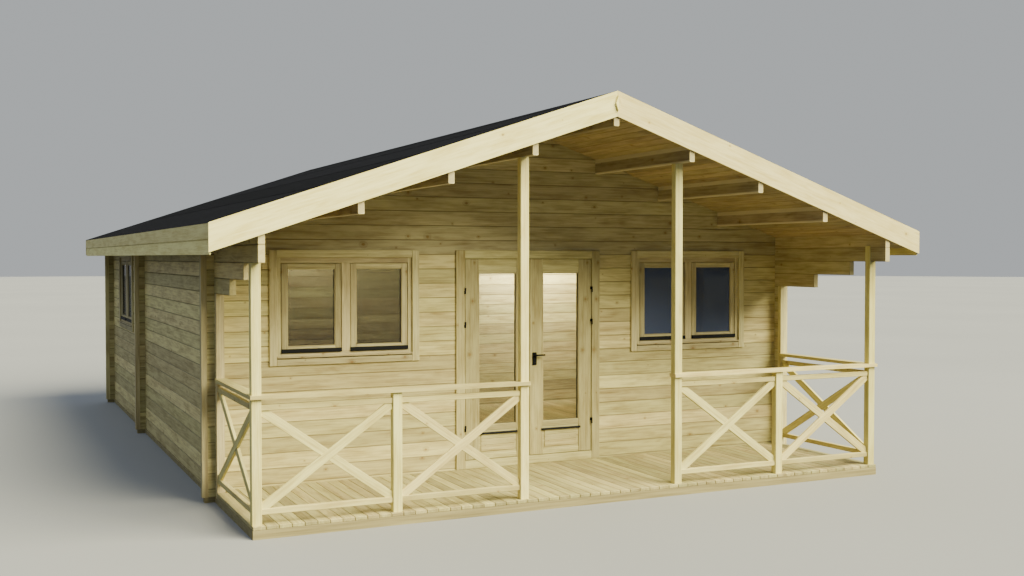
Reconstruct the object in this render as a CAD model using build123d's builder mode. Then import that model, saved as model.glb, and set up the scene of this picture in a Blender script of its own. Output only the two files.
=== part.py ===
from build123d import *
import os
from math import atan2, ceil, copysign, cos, radians, sin, tan

# A gabled log cabin with a covered terrace, double doors and two-light windows.
# Millimetres, Z up, front towards -Y. X = 0 is the ridge line, Z = 0 the ground,
# and Y = 0 the middle of the whole cabin from the apex plate to the rear barge boards.

# Logs
log_thickness = 50
log_pitch = 133
log_chamfer = 5
log_overhang = 95
notch_clearance = 0.2
sill_log_height = 66.5
side_rows = 13
stepped_rows = 3
step_setbacks = (807, 285)
head_rows = 15
top_log_height = 102

# Plan
side_wall_x = 2948
terrace_depth = 1435
front_room_length = 4195
back_room_length = 3150

# Base
bearer_height = 45
bearer_width = 70
floor_height = 97
floor_board = 28
floor_gap = 5
joist_width = 45
joist_spacing = 600

# Roof
roof_pitch = 18.72
eave_overhang = 352
roof_front_overhang = 194
roof_back_overhang = 172
lining_thickness = 19
batten_depth = 120
batten_width = 45
batten_spacing = 625
deck_thickness = 18
felt_thickness = 5
barge_width = 200
barge_thickness = 18
barge_joint = 2
fascia_thickness = 18
fascia_height = 222
fascia_joint_drop = 111
fascia_step = 7
apex_plate_width = 48
apex_plate_tip = 8
apex_plate_height = 123
apex_plate_drop = 42

# Purlins
purlin_count = 3
first_purlin_x = 748
purlin_spacing = 726.5
ridge_purlin_depth = 118

# Covers on the log ends
cover_width = 66
cover_face = 18
cover_cheek = 30
cover_clearance = 0.3

# Terrace
post_width = 75
post_depth = 66
post_chamfer = 4
post_cheek_rise = 150
deck_nosing = 26
terrace_joist_spacing = 460
rail_height = 1063
rail_thickness = 30
rail_front = 22
rail_back = 10
rail_side = 12
rail_inner_end = 8
panel_top = 990
panel_bottom = 172
panel_rail_height = 44
panel_thickness = 40
panel_recess = 12
brace_width = 68
brace_thickness = 24
brace_step = 6

# Windows, the same four times
window_x = 1820
side_window_place = 5965
window_opening_width = 1302
window_rows = 7
frame_clearance = 0.3
window_jamb = 66
window_rail = 75
window_mullion = 78
window_stop = 10
window_trim = 67
trim_lap = 39
trim_thickness = 18
sash_thickness = 44
sash_recess = 4
sash_gap = 3
sash_seat_gap = 0.3
sash_stile = 54
sash_rail = 46
glass_thickness = 24
glass_rebate = 12
glass_gap = 0.3

# Double doors
door_opening_width = 1452
door_jamb = 50
door_head = 38
door_sill = 64.5
door_gap = 5
door_stop = 14
leaf_thickness = 44
leaf_proud = 10
leaf_stile = 137
leaf_top_rail = 130
leaf_bottom_rail = 316
leaf_panel_margin = 48
leaf_panel_depth = 7
leaf_field_margin = 22

# Door hinges and handle
hinge_inset = 1
hinge_out = 25.5
hinge_radius = 6
hinge_height = 56
hinge_split = 0.5
hinge_plate_width = 10
hinge_plate_thickness = 3
hinge_centres = (1767, 1450, 477)
handle_height = 1107
handle_place = 49
handle_plate_width = 43
handle_plate_height = 122
handle_plate_thickness = 8
lever_rise = 35
lever_length = 105
lever_width = 15
lever_reach = 44
neck_radius = 8
spindle_radius = 4
spindle_clearance = 0.5

# Doorway in the partition
partition_door_width = 850

# Places worked out from the sizes above
half_log = log_thickness / 2
wall_outer_x = side_wall_x + half_log
wall_inner_x = side_wall_x - half_log
log_end_x = wall_outer_x + log_overhang
slope = tan(radians(roof_pitch))
pitch_cos = cos(radians(roof_pitch))
front_reach = roof_front_overhang + barge_thickness + trim_thickness
wall_length = log_thickness * 3 + front_room_length + back_room_length
back_reach = terrace_depth + wall_length + roof_back_overhang + barge_thickness
post_y = (front_reach - back_reach) / 2
wall_y = post_y + terrace_depth
front_room_y = wall_y + log_thickness
partition_y = front_room_y + front_room_length
back_room_y = partition_y + log_thickness
back_wall_y = back_room_y + back_room_length
wall_end_y = back_wall_y + log_thickness
side_log_front = wall_y - log_overhang
side_log_back = wall_end_y + log_overhang
roof_front_y = post_y - roof_front_overhang
roof_back_y = wall_end_y + roof_back_overhang
roof_length = roof_back_y - roof_front_y
eave_x = wall_outer_x + eave_overhang
roof_edge_x = eave_x - fascia_thickness
roof_thickness = lining_thickness + batten_depth + deck_thickness + felt_thickness
soffit_drop = roof_thickness / pitch_cos
front_base = bearer_height + sill_log_height
head_height = front_base + head_rows * log_pitch
side_top = bearer_height + side_rows * log_pitch
eave_log_base = side_top + (stepped_rows - 1) * log_pitch
apex_height = eave_log_base + log_pitch + top_log_height + wall_outer_x * slope + soffit_drop
cover_front_y = side_log_front - cover_clearance - cover_face
stepped_fronts = (post_y + step_setbacks[0], post_y + step_setbacks[1], roof_front_y)
window_bottom = head_height - window_rows * log_pitch
window_height = head_height - window_bottom
window_z = (head_height + window_bottom) / 2
inner_post_x = first_purlin_x
bay_post_x = (inner_post_x + side_wall_x) / 2
half_post = post_width / 2
terrace_edge_x = side_wall_x + half_post
rail_bottom = rail_height - rail_thickness
leaf_outer_x = door_opening_width / 2 - door_jamb - door_gap
leaf_inner_x = door_gap / 2
leaf_y = wall_y - leaf_proud
leaf_bottom = front_base + door_sill + door_gap
leaf_top = head_height - door_head - door_gap
hinge_x = door_opening_width / 2 - door_jamb - hinge_inset
hinge_y = wall_y - hinge_out
cross_walls = (wall_y, partition_y, back_wall_y)


def roof_z(x, drop=0):
    """Height of the roof's top line at x, less a vertical drop."""
    return apex_height - abs(x) * slope - drop


def span(x, y, z, mode=Mode.ADD):
    """A box between two limits on each axis."""
    with Locations(((x[0] + x[1]) / 2, (y[0] + y[1]) / 2, (z[0] + z[1]) / 2)):
        Box(x[1] - x[0], y[1] - y[0], z[1] - z[0], mode=mode)


def log_face(centre, bottom, outside, height=log_pitch):
    """One log in section, its outer arrises chamfered; outside is 1 or -1, the way its outer face looks."""
    inner, outer, top = centre - outside * half_log, centre + outside * half_log, bottom + height
    eased = outer - outside * log_chamfer
    with BuildLine() as outline:
        Polyline(
            (inner, bottom), (eased, bottom), (outer, bottom + log_chamfer),
            (outer, top - log_chamfer), (eased, top), (inner, top), close=True,
        )
    make_face(outline.line)


def logs_along_x(wall_face, x_start, x_end, bottom, rows, outside=-1):
    """A stack of logs along X, its front face at wall_face."""
    with BuildSketch(Plane.YZ.offset(x_start)) as profile:
        for row in range(rows):
            log_face(wall_face + half_log, bottom + row * log_pitch, outside)
    extrude(profile.sketch, amount=x_end - x_start)


def logs_along_y(wall_x, y_start, y_end, bottom, rows):
    """A stack of logs along Y, centred on wall_x."""
    with BuildSketch(Plane.XZ.offset(-y_end)) as profile:
        for row in range(rows):
            log_face(wall_x, bottom + row * log_pitch, copysign(1, wall_x))
    extrude(profile.sketch, amount=y_end - y_start)


def sill_log(wall_face, outside=-1):
    """The half log that a cross wall starts with, on the bearers."""
    with BuildSketch(Plane.YZ.offset(-log_end_x)) as profile:
        log_face(wall_face + half_log, bearer_height, outside, sill_log_height)
    extrude(profile.sketch, amount=2 * log_end_x)


def side_log_bands(first, last):
    """Middle heights of the bands that side logs keep where walls cross."""
    return [bearer_height + (row + 0.5) * log_pitch for row in range(first, last)]


def notch_for_side_walls(wall_face, first, last):
    """Leaves room in a cross wall for the side logs' kept bands."""
    gap = 2 * notch_clearance
    for wall_x in (-side_wall_x, side_wall_x):
        with Locations(*[(wall_x, wall_face + half_log, z) for z in side_log_bands(first, last)]):
            Box(log_thickness + gap, 2 * log_thickness, log_pitch / 2 + gap, mode=Mode.SUBTRACT)


def notch_for_cross_walls(wall_x, first, last):
    """Leaves room in a side wall for the cross logs' kept bands."""
    gap = 2 * notch_clearance
    heights = [z - log_pitch / 2 for z in side_log_bands(first, last)]
    for wall_face in cross_walls:
        with Locations(*[(wall_x, wall_face + half_log, z) for z in heights]):
            Box(2 * log_thickness, log_thickness + gap, log_pitch / 2 + gap, mode=Mode.SUBTRACT)


def under_roof(drop=soffit_drop):
    """Keeps only what lies below the roof's underside."""
    with BuildSketch(Plane.XZ.offset(-roof_back_y)) as profile:
        with BuildLine():
            Polyline(
                (-eave_x, 0), (eave_x, 0), (eave_x, roof_z(eave_x, drop)),
                (0, roof_z(0, drop)), (-eave_x, roof_z(eave_x, drop)), close=True,
            )
        make_face()
    extrude(profile.sketch, amount=roof_length, mode=Mode.INTERSECT)


def purlin_places():
    """Centre and underside of each side purlin on the right, ridge first."""
    places = [(0, apex_height - soffit_drop - ridge_purlin_depth)]
    for index in range(purlin_count):
        x = first_purlin_x + index * purlin_spacing
        places.append((x, roof_z(x, soffit_drop) - log_pitch))
    return places


def pockets_for_purlins(wall_face):
    """Cuts a gable open for the purlins that pass through it."""
    gap = notch_clearance
    for x, bottom in purlin_places():
        for side in (-x, x):
            wide = (side - half_log - gap, side + half_log + gap)
            span(wide, (wall_face - half_log, wall_face + 3 * half_log), (bottom - gap, apex_height), Mode.SUBTRACT)


def gable_logs(wall_face, outside=-1):
    """Logs from the window heads up to the roof, notched for eave logs and purlins."""
    rows = ceil((roof_z(0, soffit_drop) - head_height) / log_pitch)
    logs_along_x(wall_face, -wall_outer_x, wall_outer_x, head_height, rows, outside)
    top_band = head_height + 0.75 * log_pitch - notch_clearance
    for side in (-1, 1):
        reach = sorted((side * (wall_inner_x - notch_clearance), side * (wall_outer_x + half_log)))
        span(reach, (wall_face - half_log, wall_face + 3 * half_log), (top_band, apex_height), Mode.SUBTRACT)


def window_hole_in_cross_wall(x):
    half = window_opening_width / 2
    span((x - half, x + half), (wall_y - half_log, wall_y + 3 * half_log), (window_bottom, head_height), Mode.SUBTRACT)


def window_hole_in_side_wall(wall_x):
    half, y = window_opening_width / 2, wall_y + side_window_place
    span((wall_x - log_thickness, wall_x + log_thickness), (y - half, y + half), (window_bottom, head_height), Mode.SUBTRACT)


os.makedirs("parts", exist_ok=True)

# Ground bearers under every wall, with the floor joists between them
with BuildPart() as ground_bearers:
    for wall_face in cross_walls:
        middle = wall_face + half_log
        span((-log_end_x, log_end_x), (middle - bearer_width / 2, middle + bearer_width / 2), (0, bearer_height))
    for side in (-side_wall_x, side_wall_x):
        span((side - bearer_width / 2, side + bearer_width / 2), (side_log_front, side_log_back), (0, bearer_height))
    for start, length in ((front_room_y, front_room_length), (back_room_y, back_room_length)):
        count = ceil(length / joist_spacing)
        for index in range(1, count):
            y = start + index * length / count
            reach = wall_inner_x - floor_gap
            span((-reach, reach), (y - joist_width / 2, y + joist_width / 2), (0, floor_height - floor_board))
ground_bearers.part.label = "ground_bearers"
export_step(ground_bearers.part, "parts/ground_bearers.step")

# Joists under the terrace, in one frame
deck_front = post_y - deck_nosing
deck_corner_x = side_wall_x - cover_width / 2 - floor_gap
deck_corner_y = cover_front_y - floor_gap
with BuildPart() as terrace_joists:
    joist_top = floor_height - floor_board
    for side in (-1, 1):
        beam = sorted((side * terrace_edge_x, side * (terrace_edge_x - joist_width)))
        span(beam, (deck_front, deck_corner_y), (0, joist_top))
    count = ceil((deck_corner_y - deck_front - joist_width) / terrace_joist_spacing)
    for index in range(count + 1):
        y = deck_front + index * (deck_corner_y - deck_front - joist_width) / count
        span((-terrace_edge_x, terrace_edge_x), (y, y + joist_width), (0, joist_top))
terrace_joists.part.label = "terrace_joists"
export_step(terrace_joists.part, "parts/terrace_joists.step")

# Terrace floor, cut round the ends of the side walls
with BuildPart() as terrace_deck:
    with BuildSketch(Plane.XY.offset(floor_height - floor_board)):
        with BuildLine():
            Polyline(
                (-terrace_edge_x, deck_front), (terrace_edge_x, deck_front), (terrace_edge_x, deck_corner_y),
                (deck_corner_x, deck_corner_y), (deck_corner_x, wall_y), (-deck_corner_x, wall_y),
                (-deck_corner_x, deck_corner_y), (-terrace_edge_x, deck_corner_y), close=True,
            )
        make_face()
    extrude(amount=floor_board)
terrace_deck.part.label = "terrace_deck"
export_step(terrace_deck.part, "parts/terrace_deck.step")

# Floor of the two rooms, one slab of boards each
with BuildPart() as room_floor:
    reach = wall_inner_x - floor_gap
    for start, length in ((front_room_y, front_room_length), (back_room_y, back_room_length)):
        boards = (start + floor_gap, start + length - floor_gap)
        span((-reach, reach), boards, (floor_height - floor_board, floor_height))
room_floor.part.label = "room_floor"
export_step(room_floor.part, "parts/room_floor.step")

# Half log right across the front, under the door sill
with BuildPart() as front_sill_log:
    sill_log(wall_y)
    notch_for_side_walls(wall_y, 0, 1)
front_sill_log.part.label = "front_sill_log"
export_step(front_sill_log.part, "parts/front_sill_log.step")

# Front wall on each side of the doorway
half_door = door_opening_width / 2
with BuildPart() as front_wall_left:
    logs_along_x(wall_y, -log_end_x, -half_door, front_base, head_rows)
    notch_for_side_walls(wall_y, 0, side_rows + stepped_rows)
    window_hole_in_cross_wall(-window_x)
front_wall_left.part.label = "front_wall_left"
export_step(front_wall_left.part, "parts/front_wall_left.step")

with BuildPart() as front_wall_right:
    logs_along_x(wall_y, half_door, log_end_x, front_base, head_rows)
    notch_for_side_walls(wall_y, 0, side_rows + stepped_rows)
    window_hole_in_cross_wall(window_x)
front_wall_right.part.label = "front_wall_right"
export_step(front_wall_right.part, "parts/front_wall_right.step")

with BuildPart() as front_gable:
    gable_logs(wall_y)
    notch_for_side_walls(wall_y, side_rows + stepped_rows - 1, side_rows + stepped_rows)
    under_roof()
    pockets_for_purlins(wall_y)
front_gable.part.label = "front_gable"
export_step(front_gable.part, "parts/front_gable.step")

# Back wall, one stack from the bearers to the roof
with BuildPart() as back_wall:
    sill_log(back_wall_y, 1)
    logs_along_x(back_wall_y, -log_end_x, log_end_x, front_base, head_rows, 1)
    gable_logs(back_wall_y, 1)
    notch_for_side_walls(back_wall_y, 0, side_rows + stepped_rows)
    under_roof()
    pockets_for_purlins(back_wall_y)
back_wall.part.label = "back_wall"
export_step(back_wall.part, "parts/back_wall.step")

# Partition between the rooms, with a plain doorway
with BuildPart() as partition_wall:
    sill_log(partition_y)
    logs_along_x(partition_y, -log_end_x, log_end_x, front_base, head_rows)
    gable_logs(partition_y)
    notch_for_side_walls(partition_y, 0, side_rows + stepped_rows)
    under_roof()
    pockets_for_purlins(partition_y)
    half = partition_door_width / 2
    span((-half, half), (partition_y - half_log, partition_y + 3 * half_log), (front_base, head_height), Mode.SUBTRACT)
partition_wall.part.label = "partition_wall"
export_step(partition_wall.part, "parts/partition_wall.step")

# Side walls up to the stepped logs
with BuildPart() as left_wall:
    logs_along_y(-side_wall_x, side_log_front, side_log_back, bearer_height, side_rows)
    notch_for_cross_walls(-side_wall_x, 0, side_rows + 1)
    window_hole_in_side_wall(-side_wall_x)
left_wall.part.label = "left_wall"
export_step(left_wall.part, "parts/left_wall.step")

with BuildPart() as right_wall:
    logs_along_y(side_wall_x, side_log_front, side_log_back, bearer_height, side_rows)
    notch_for_cross_walls(side_wall_x, 0, side_rows + 1)
    window_hole_in_side_wall(side_wall_x)
right_wall.part.label = "right_wall"
export_step(right_wall.part, "parts/right_wall.step")


def eave_logs(wall_x):
    """Stepped logs that carry the eave, with a last log ripped to the roof's slope."""
    for row, front in enumerate(stepped_fronts):
        back = roof_back_y if row == stepped_rows - 1 else side_log_back
        logs_along_y(wall_x, front, back, side_top + row * log_pitch, 1)
    logs_along_y(wall_x, roof_front_y, roof_back_y, side_top + stepped_rows * log_pitch, 1)
    notch_for_cross_walls(wall_x, side_rows, side_rows + stepped_rows + 1)
    under_roof()
    window_hole_in_side_wall(wall_x)


with BuildPart() as left_eave_logs:
    eave_logs(-side_wall_x)
left_eave_logs.part.label = "left_eave_logs"
export_step(left_eave_logs.part, "parts/left_eave_logs.step")

with BuildPart() as right_eave_logs:
    eave_logs(side_wall_x)
right_eave_logs.part.label = "right_eave_logs"
export_step(right_eave_logs.part, "parts/right_eave_logs.step")


# Purlins, each a log with its top cut to the slope
def purlin(x, bottom):
    left, right, top, cut = x - half_log, x + half_log, bottom + 2 * log_pitch, log_chamfer
    with BuildSketch(Plane.XZ.offset(-roof_back_y)) as profile:
        with BuildLine():
            Polyline(
                (left, bottom + cut), (left + cut, bottom), (right - cut, bottom), (right, bottom + cut),
                (right, top), (left, top), close=True,
            )
        make_face()
    extrude(profile.sketch, amount=roof_length)


with BuildPart() as ridge_purlin:
    purlin(*purlin_places()[0])
    under_roof()
ridge_purlin.part.label = "ridge_purlin"
export_step(ridge_purlin.part, "parts/ridge_purlin.step")

with BuildPart() as left_purlins:
    for x, bottom in purlin_places()[1:]:
        purlin(-x, bottom)
    under_roof()
left_purlins.part.label = "left_purlins"
export_step(left_purlins.part, "parts/left_purlins.step")

with BuildPart() as right_purlins:
    for x, bottom in purlin_places()[1:]:
        purlin(x, bottom)
    under_roof()
right_purlins.part.label = "right_purlins"
export_step(right_purlins.part, "parts/right_purlins.step")


# Roof build-up: lining, battens and deck, felt
def roof_slab(side, top_drop, thickness, reach, back_y, length):
    """A sloping slab on one side of the ridge, its top at a vertical drop below the roof line."""
    bottom_drop = top_drop + thickness / pitch_cos
    with BuildSketch(Plane.XZ.offset(-back_y)) as profile:
        with BuildLine():
            Polyline(
                (0, roof_z(0, top_drop)), (side * reach, roof_z(reach, top_drop)),
                (side * reach, roof_z(reach, bottom_drop)), (0, roof_z(0, bottom_drop)), close=True,
            )
        make_face()
    extrude(profile.sketch, amount=length)


with BuildPart() as roof_lining:
    lining_drop = soffit_drop - lining_thickness / pitch_cos
    for side in (-1, 1):
        roof_slab(side, lining_drop, lining_thickness, roof_edge_x, roof_back_y, roof_length)
roof_lining.part.label = "roof_lining"
export_step(roof_lining.part, "parts/roof_lining.step")

with BuildPart() as roof_deck:
    felt_drop = felt_thickness / pitch_cos
    batten_drop = felt_drop + deck_thickness / pitch_cos
    battens = ceil((roof_length - batten_width) / batten_spacing)
    for side in (-1, 1):
        roof_slab(side, felt_drop, deck_thickness, roof_edge_x, roof_back_y, roof_length)
        for index in range(battens + 1):
            back = roof_back_y - index * (roof_length - batten_width) / battens
            roof_slab(side, batten_drop, batten_depth, roof_edge_x, back, batten_width)
roof_deck.part.label = "roof_deck"
export_step(roof_deck.part, "parts/roof_deck.step")

with BuildPart() as roof_felt:
    for side in (-1, 1):
        roof_slab(side, 0, felt_thickness, eave_x, roof_back_y, roof_length)
roof_felt.part.label = "roof_felt"
export_step(roof_felt.part, "parts/roof_felt.step")


# Barge boards, with a lozenge plate over their joint at the apex
def barge_board(side, plane):
    inner = barge_joint / 2
    depth = barge_width / pitch_cos
    with BuildSketch(plane) as profile:
        with BuildLine():
            Polyline(
                (side * inner, roof_z(inner)), (side * eave_x, roof_z(eave_x)),
                (side * eave_x, roof_z(eave_x, depth)), (side * inner, roof_z(inner, depth)), close=True,
            )
        make_face()
    extrude(profile.sketch, amount=barge_thickness)


def apex_plate(plane):
    half, tip, high = apex_plate_width / 2, apex_plate_tip / 2, apex_plate_height / 2
    with BuildSketch(plane) as profile:
        with BuildLine():
            Polyline((-tip, high), (-half, 0), (-tip, -high), (tip, -high), (half, 0), (tip, high), close=True)
        make_face()
    extrude(profile.sketch, amount=trim_thickness)


plate_z = apex_height - apex_plate_drop - apex_plate_height / 2
with BuildPart() as front_barge_boards:
    for side in (-1, 1):
        barge_board(side, Plane.XZ.offset(-roof_front_y))
    apex_plate(Plane((0, roof_front_y - barge_thickness, plate_z), x_dir=(1, 0, 0), z_dir=(0, -1, 0)))
front_barge_boards.part.label = "front_barge_boards"
export_step(front_barge_boards.part, "parts/front_barge_boards.step")

with BuildPart() as back_barge_boards:
    for side in (-1, 1):
        barge_board(side, Plane.XZ.offset(-roof_back_y - barge_thickness))
    span((-barge_joint / 2, barge_joint / 2), (roof_back_y, roof_back_y + barge_thickness),
         (roof_z(barge_joint, barge_width / pitch_cos), roof_z(barge_joint)))
back_barge_boards.part.label = "back_barge_boards"
export_step(back_barge_boards.part, "parts/back_barge_boards.step")


# Fascia of two boards, the lower one set back
def fascia(side):
    top = roof_z(eave_x, felt_thickness / pitch_cos)
    inner, outer = roof_edge_x, eave_x
    with BuildSketch(Plane.XZ.offset(-roof_back_y)) as profile:
        with BuildLine():
            Polyline(
                (side * inner, top), (side * outer, top), (side * outer, top - fascia_joint_drop),
                (side * (outer - fascia_step), top - fascia_joint_drop - fascia_step),
                (side * (outer - fascia_step), top - fascia_height), (side * inner, top - fascia_height), close=True,
            )
        make_face()
    extrude(profile.sketch, amount=roof_length)


with BuildPart() as eave_fascias:
    for side in (-1, 1):
        fascia(side)
eave_fascias.part.label = "eave_fascias"
export_step(eave_fascias.part, "parts/eave_fascias.step")


# Grooved covers on the log ends
def end_cover(place, angle, top):
    """A grooved post over the log ends at place, turned so that its face looks along angle."""
    face = Plane((place[0], place[1], bearer_height), x_dir=Vector(1, 0, 0).rotate(Axis.Z, angle), z_dir=(0, 0, 1))
    slot = log_thickness + 2 * cover_clearance
    with BuildSketch(face) as profile:
        with Locations(((cover_face - cover_cheek) / 2 + cover_clearance, 0)):
            Rectangle(cover_face + cover_cheek, cover_width)
        with Locations((-cover_cheek / 2 + cover_clearance, 0)):
            Rectangle(cover_cheek, slot, mode=Mode.SUBTRACT)
    extrude(profile.sketch, amount=top - bearer_height)


with BuildPart() as log_end_covers:
    for wall_face in cross_walls:
        end_cover((-log_end_x, wall_face + half_log), 180, head_height)
        end_cover((log_end_x, wall_face + half_log), 0, head_height)
    for side in (-side_wall_x, side_wall_x):
        end_cover((side, side_log_front), -90, side_top)
        end_cover((side, side_log_back), 90, eave_log_base)
log_end_covers.part.label = "log_end_covers"
export_step(log_end_covers.part, "parts/log_end_covers.step")


# Terrace posts; those at the corners keep a cheek on the inner side of the eave logs
def post(x, top):
    with BuildSketch(Plane.XY.offset(floor_height)) as profile:
        with Locations((x, post_y + post_depth / 2)):
            rectangle = Rectangle(post_width, post_depth)
        chamfer(rectangle.vertices(), post_chamfer)
    extrude(profile.sketch, amount=top - floor_height)


entrance_post_top = purlin_places()[1][1]
with BuildPart() as corner_posts:
    cheek_top = eave_log_base + post_cheek_rise
    for side in (-1, 1):
        post(side * side_wall_x, cheek_top)
        seat = sorted((side * (wall_inner_x - cover_clearance), side * terrace_edge_x))
        span(seat, (post_y, post_y + post_depth), (eave_log_base, cheek_top), Mode.SUBTRACT)
corner_posts.part.label = "corner_posts"
export_step(corner_posts.part, "parts/corner_posts.step")

with BuildPart() as entrance_posts:
    for side in (-1, 1):
        post(side * inner_post_x, entrance_post_top)
entrance_posts.part.label = "entrance_posts"
export_step(entrance_posts.part, "parts/entrance_posts.step")

with BuildPart() as rail_posts:
    for side in (-1, 1):
        post(side * bay_post_x, rail_bottom)
rail_posts.part.label = "rail_posts"
export_step(rail_posts.part, "parts/rail_posts.step")


# Handrails, one board to the front and one to the side, cut round the tall posts
def handrail(side):
    heights = (rail_bottom, rail_height)
    outer = terrace_edge_x + rail_side
    inner_end = inner_post_x - half_post - rail_inner_end
    front = (post_y - rail_front, post_y + post_depth + rail_back)
    span(sorted((side * inner_end, side * outer)), front, heights)
    board = side_wall_x - half_post - rail_side
    span(sorted((side * board, side * outer)), (front[0], cover_front_y), heights)
    gap = cover_clearance
    for x in (inner_post_x, side_wall_x):
        hole = sorted((side * (x - half_post - gap), side * (x + half_post + gap)))
        span(hole, (post_y - gap, post_y + post_depth + gap), heights, Mode.SUBTRACT)


with BuildPart() as left_handrail:
    handrail(-1)
left_handrail.part.label = "left_handrail"
export_step(left_handrail.part, "parts/left_handrail.step")

with BuildPart() as right_handrail:
    handrail(1)
right_handrail.part.label = "right_handrail"
export_step(right_handrail.part, "parts/right_handrail.step")


# Railing panels: two rails and a lapped cross of braces
def railing_panel(face, length):
    """A panel on a plane whose origin is the middle of its foot and whose normal looks outward."""
    half, height = length / 2, panel_top - panel_bottom
    with BuildSketch(face) as profile:
        with Locations((0, panel_rail_height / 2), (0, height - panel_rail_height / 2)):
            Rectangle(length, panel_rail_height)
    extrude(profile.sketch, amount=-panel_thickness)
    low, high = panel_rail_height, height - panel_rail_height
    slant = atan2(high - low, length)
    along, up = brace_width / sin(slant) / 2, brace_width / cos(slant) / 2
    for side, depth in ((-1, 0), (1, brace_step)):
        a, b = -side * half, side * half
        with BuildSketch(face.offset(-depth - brace_step)) as profile:
            with BuildLine():
                Polyline(
                    (a, low), (a + side * along, low), (b, high - up),
                    (b, high), (b - side * along, high), (a, low + up), close=True,
                )
            make_face()
        extrude(profile.sketch, amount=-brace_thickness)


def front_panel(x_start, x_end):
    middle = (x_start + x_end) / 2
    face = Plane((middle, post_y + panel_recess, panel_bottom), x_dir=(1, 0, 0), z_dir=(0, -1, 0))
    railing_panel(face, x_end - x_start)


def side_panel(side):
    y_start, y_end = post_y + post_depth, cover_front_y
    outer = side * (terrace_edge_x - panel_recess)
    face = Plane((outer, (y_start + y_end) / 2, panel_bottom), x_dir=(0, side, 0), z_dir=(side, 0, 0))
    railing_panel(face, y_end - y_start)


outer_bay = (bay_post_x + half_post, side_wall_x - half_post)
inner_bay = (inner_post_x + half_post, bay_post_x - half_post)
with BuildPart() as left_front_panels:
    for start, end in (outer_bay, inner_bay):
        front_panel(-end, -start)
left_front_panels.part.label = "left_front_panels"
export_step(left_front_panels.part, "parts/left_front_panels.step")

with BuildPart() as right_front_panels:
    for start, end in (inner_bay, outer_bay):
        front_panel(start, end)
right_front_panels.part.label = "right_front_panels"
export_step(right_front_panels.part, "parts/right_front_panels.step")

with BuildPart() as left_side_panel:
    side_panel(-1)
left_side_panel.part.label = "left_side_panel"
export_step(left_side_panel.part, "parts/left_side_panel.step")

with BuildPart() as right_side_panel:
    side_panel(1)
right_side_panel.part.label = "right_side_panel"
export_step(right_side_panel.part, "parts/right_side_panel.step")


# Windows
def slab_on(face, top, thickness, size, middle=(0, 0), mode=Mode.ADD):
    """A rectangular slab whose outer side lies at height top above a face plane."""
    with BuildSketch(face.offset(top)) as profile:
        with Locations(middle):
            Rectangle(*size)
    extrude(profile.sketch, amount=-thickness, mode=mode)


def window_frame(face):
    """Frame, mullion and both trims, round an opening whose middle on the wall's face is the origin."""
    wide, high = window_opening_width, window_height
    through = log_thickness + 2 * trim_thickness
    trim_size = (wide + 2 * trim_lap, high + 2 * trim_lap)
    for top in (trim_thickness, -log_thickness):
        slab_on(face, top, trim_thickness, trim_size)
    slab_on(face, 0, log_thickness, (wide - 2 * frame_clearance, high - 2 * frame_clearance))
    inside = (trim_size[0] - 2 * window_trim, trim_size[1] - 2 * window_trim)
    slab_on(face, trim_thickness, trim_thickness, inside, mode=Mode.SUBTRACT)
    slab_on(face, -log_thickness, trim_thickness, inside, mode=Mode.SUBTRACT)
    light = ((wide - window_mullion) / 2 - window_jamb, high - 2 * window_rail)
    place = (window_mullion + light[0]) / 2
    seat = sash_recess + sash_thickness + sash_seat_gap
    for side in (-place, place):
        slab_on(face, 0, seat, light, (side, 0), Mode.SUBTRACT)
        clear = (light[0] - 2 * window_stop, light[1] - 2 * window_stop)
        slab_on(face, trim_thickness, through, clear, (side, 0), Mode.SUBTRACT)


def sash_sizes():
    """Outer size, clear size and place of each sash."""
    light = ((window_opening_width - window_mullion) / 2 - window_jamb, window_height - 2 * window_rail)
    outer = (light[0] - 2 * sash_gap, light[1] - 2 * sash_gap)
    clear = (outer[0] - 2 * sash_stile, outer[1] - 2 * sash_rail)
    return outer, clear, (window_mullion + light[0]) / 2


def window_sashes(face):
    outer, clear, place = sash_sizes()
    groove = (clear[0] + 2 * glass_rebate, clear[1] + 2 * glass_rebate)
    middle = -sash_recess - (sash_thickness - glass_thickness) / 2
    for side in (-place, place):
        slab_on(face, -sash_recess, sash_thickness, outer, (side, 0))
        slab_on(face, -sash_recess, sash_thickness, clear, (side, 0), Mode.SUBTRACT)
        slab_on(face, middle + glass_gap, glass_thickness + 2 * glass_gap, groove, (side, 0), Mode.SUBTRACT)


def window_panes(face):
    outer, clear, place = sash_sizes()
    edge = 2 * (glass_rebate - glass_gap)
    middle = -sash_recess - (sash_thickness - glass_thickness) / 2
    for side in (-place, place):
        slab_on(face, middle, glass_thickness, (clear[0] + edge, clear[1] + edge), (side, 0))


side_y = wall_y + side_window_place
front_left_face = Plane((-window_x, wall_y, window_z), x_dir=(1, 0, 0), z_dir=(0, -1, 0))
front_right_face = Plane((window_x, wall_y, window_z), x_dir=(1, 0, 0), z_dir=(0, -1, 0))
left_face = Plane((-wall_outer_x, side_y, window_z), x_dir=(0, -1, 0), z_dir=(-1, 0, 0))
right_face = Plane((wall_outer_x, side_y, window_z), x_dir=(0, 1, 0), z_dir=(1, 0, 0))

with BuildPart() as front_left_window:
    window_frame(front_left_face)
    window_sashes(front_left_face)
front_left_window.part.label = "front_left_window"
export_step(front_left_window.part, "parts/front_left_window.step")

with BuildPart() as front_right_window:
    window_frame(front_right_face)
    window_sashes(front_right_face)
front_right_window.part.label = "front_right_window"
export_step(front_right_window.part, "parts/front_right_window.step")

with BuildPart() as left_window:
    window_frame(left_face)
    window_sashes(left_face)
left_window.part.label = "left_window"
export_step(left_window.part, "parts/left_window.step")

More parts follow.
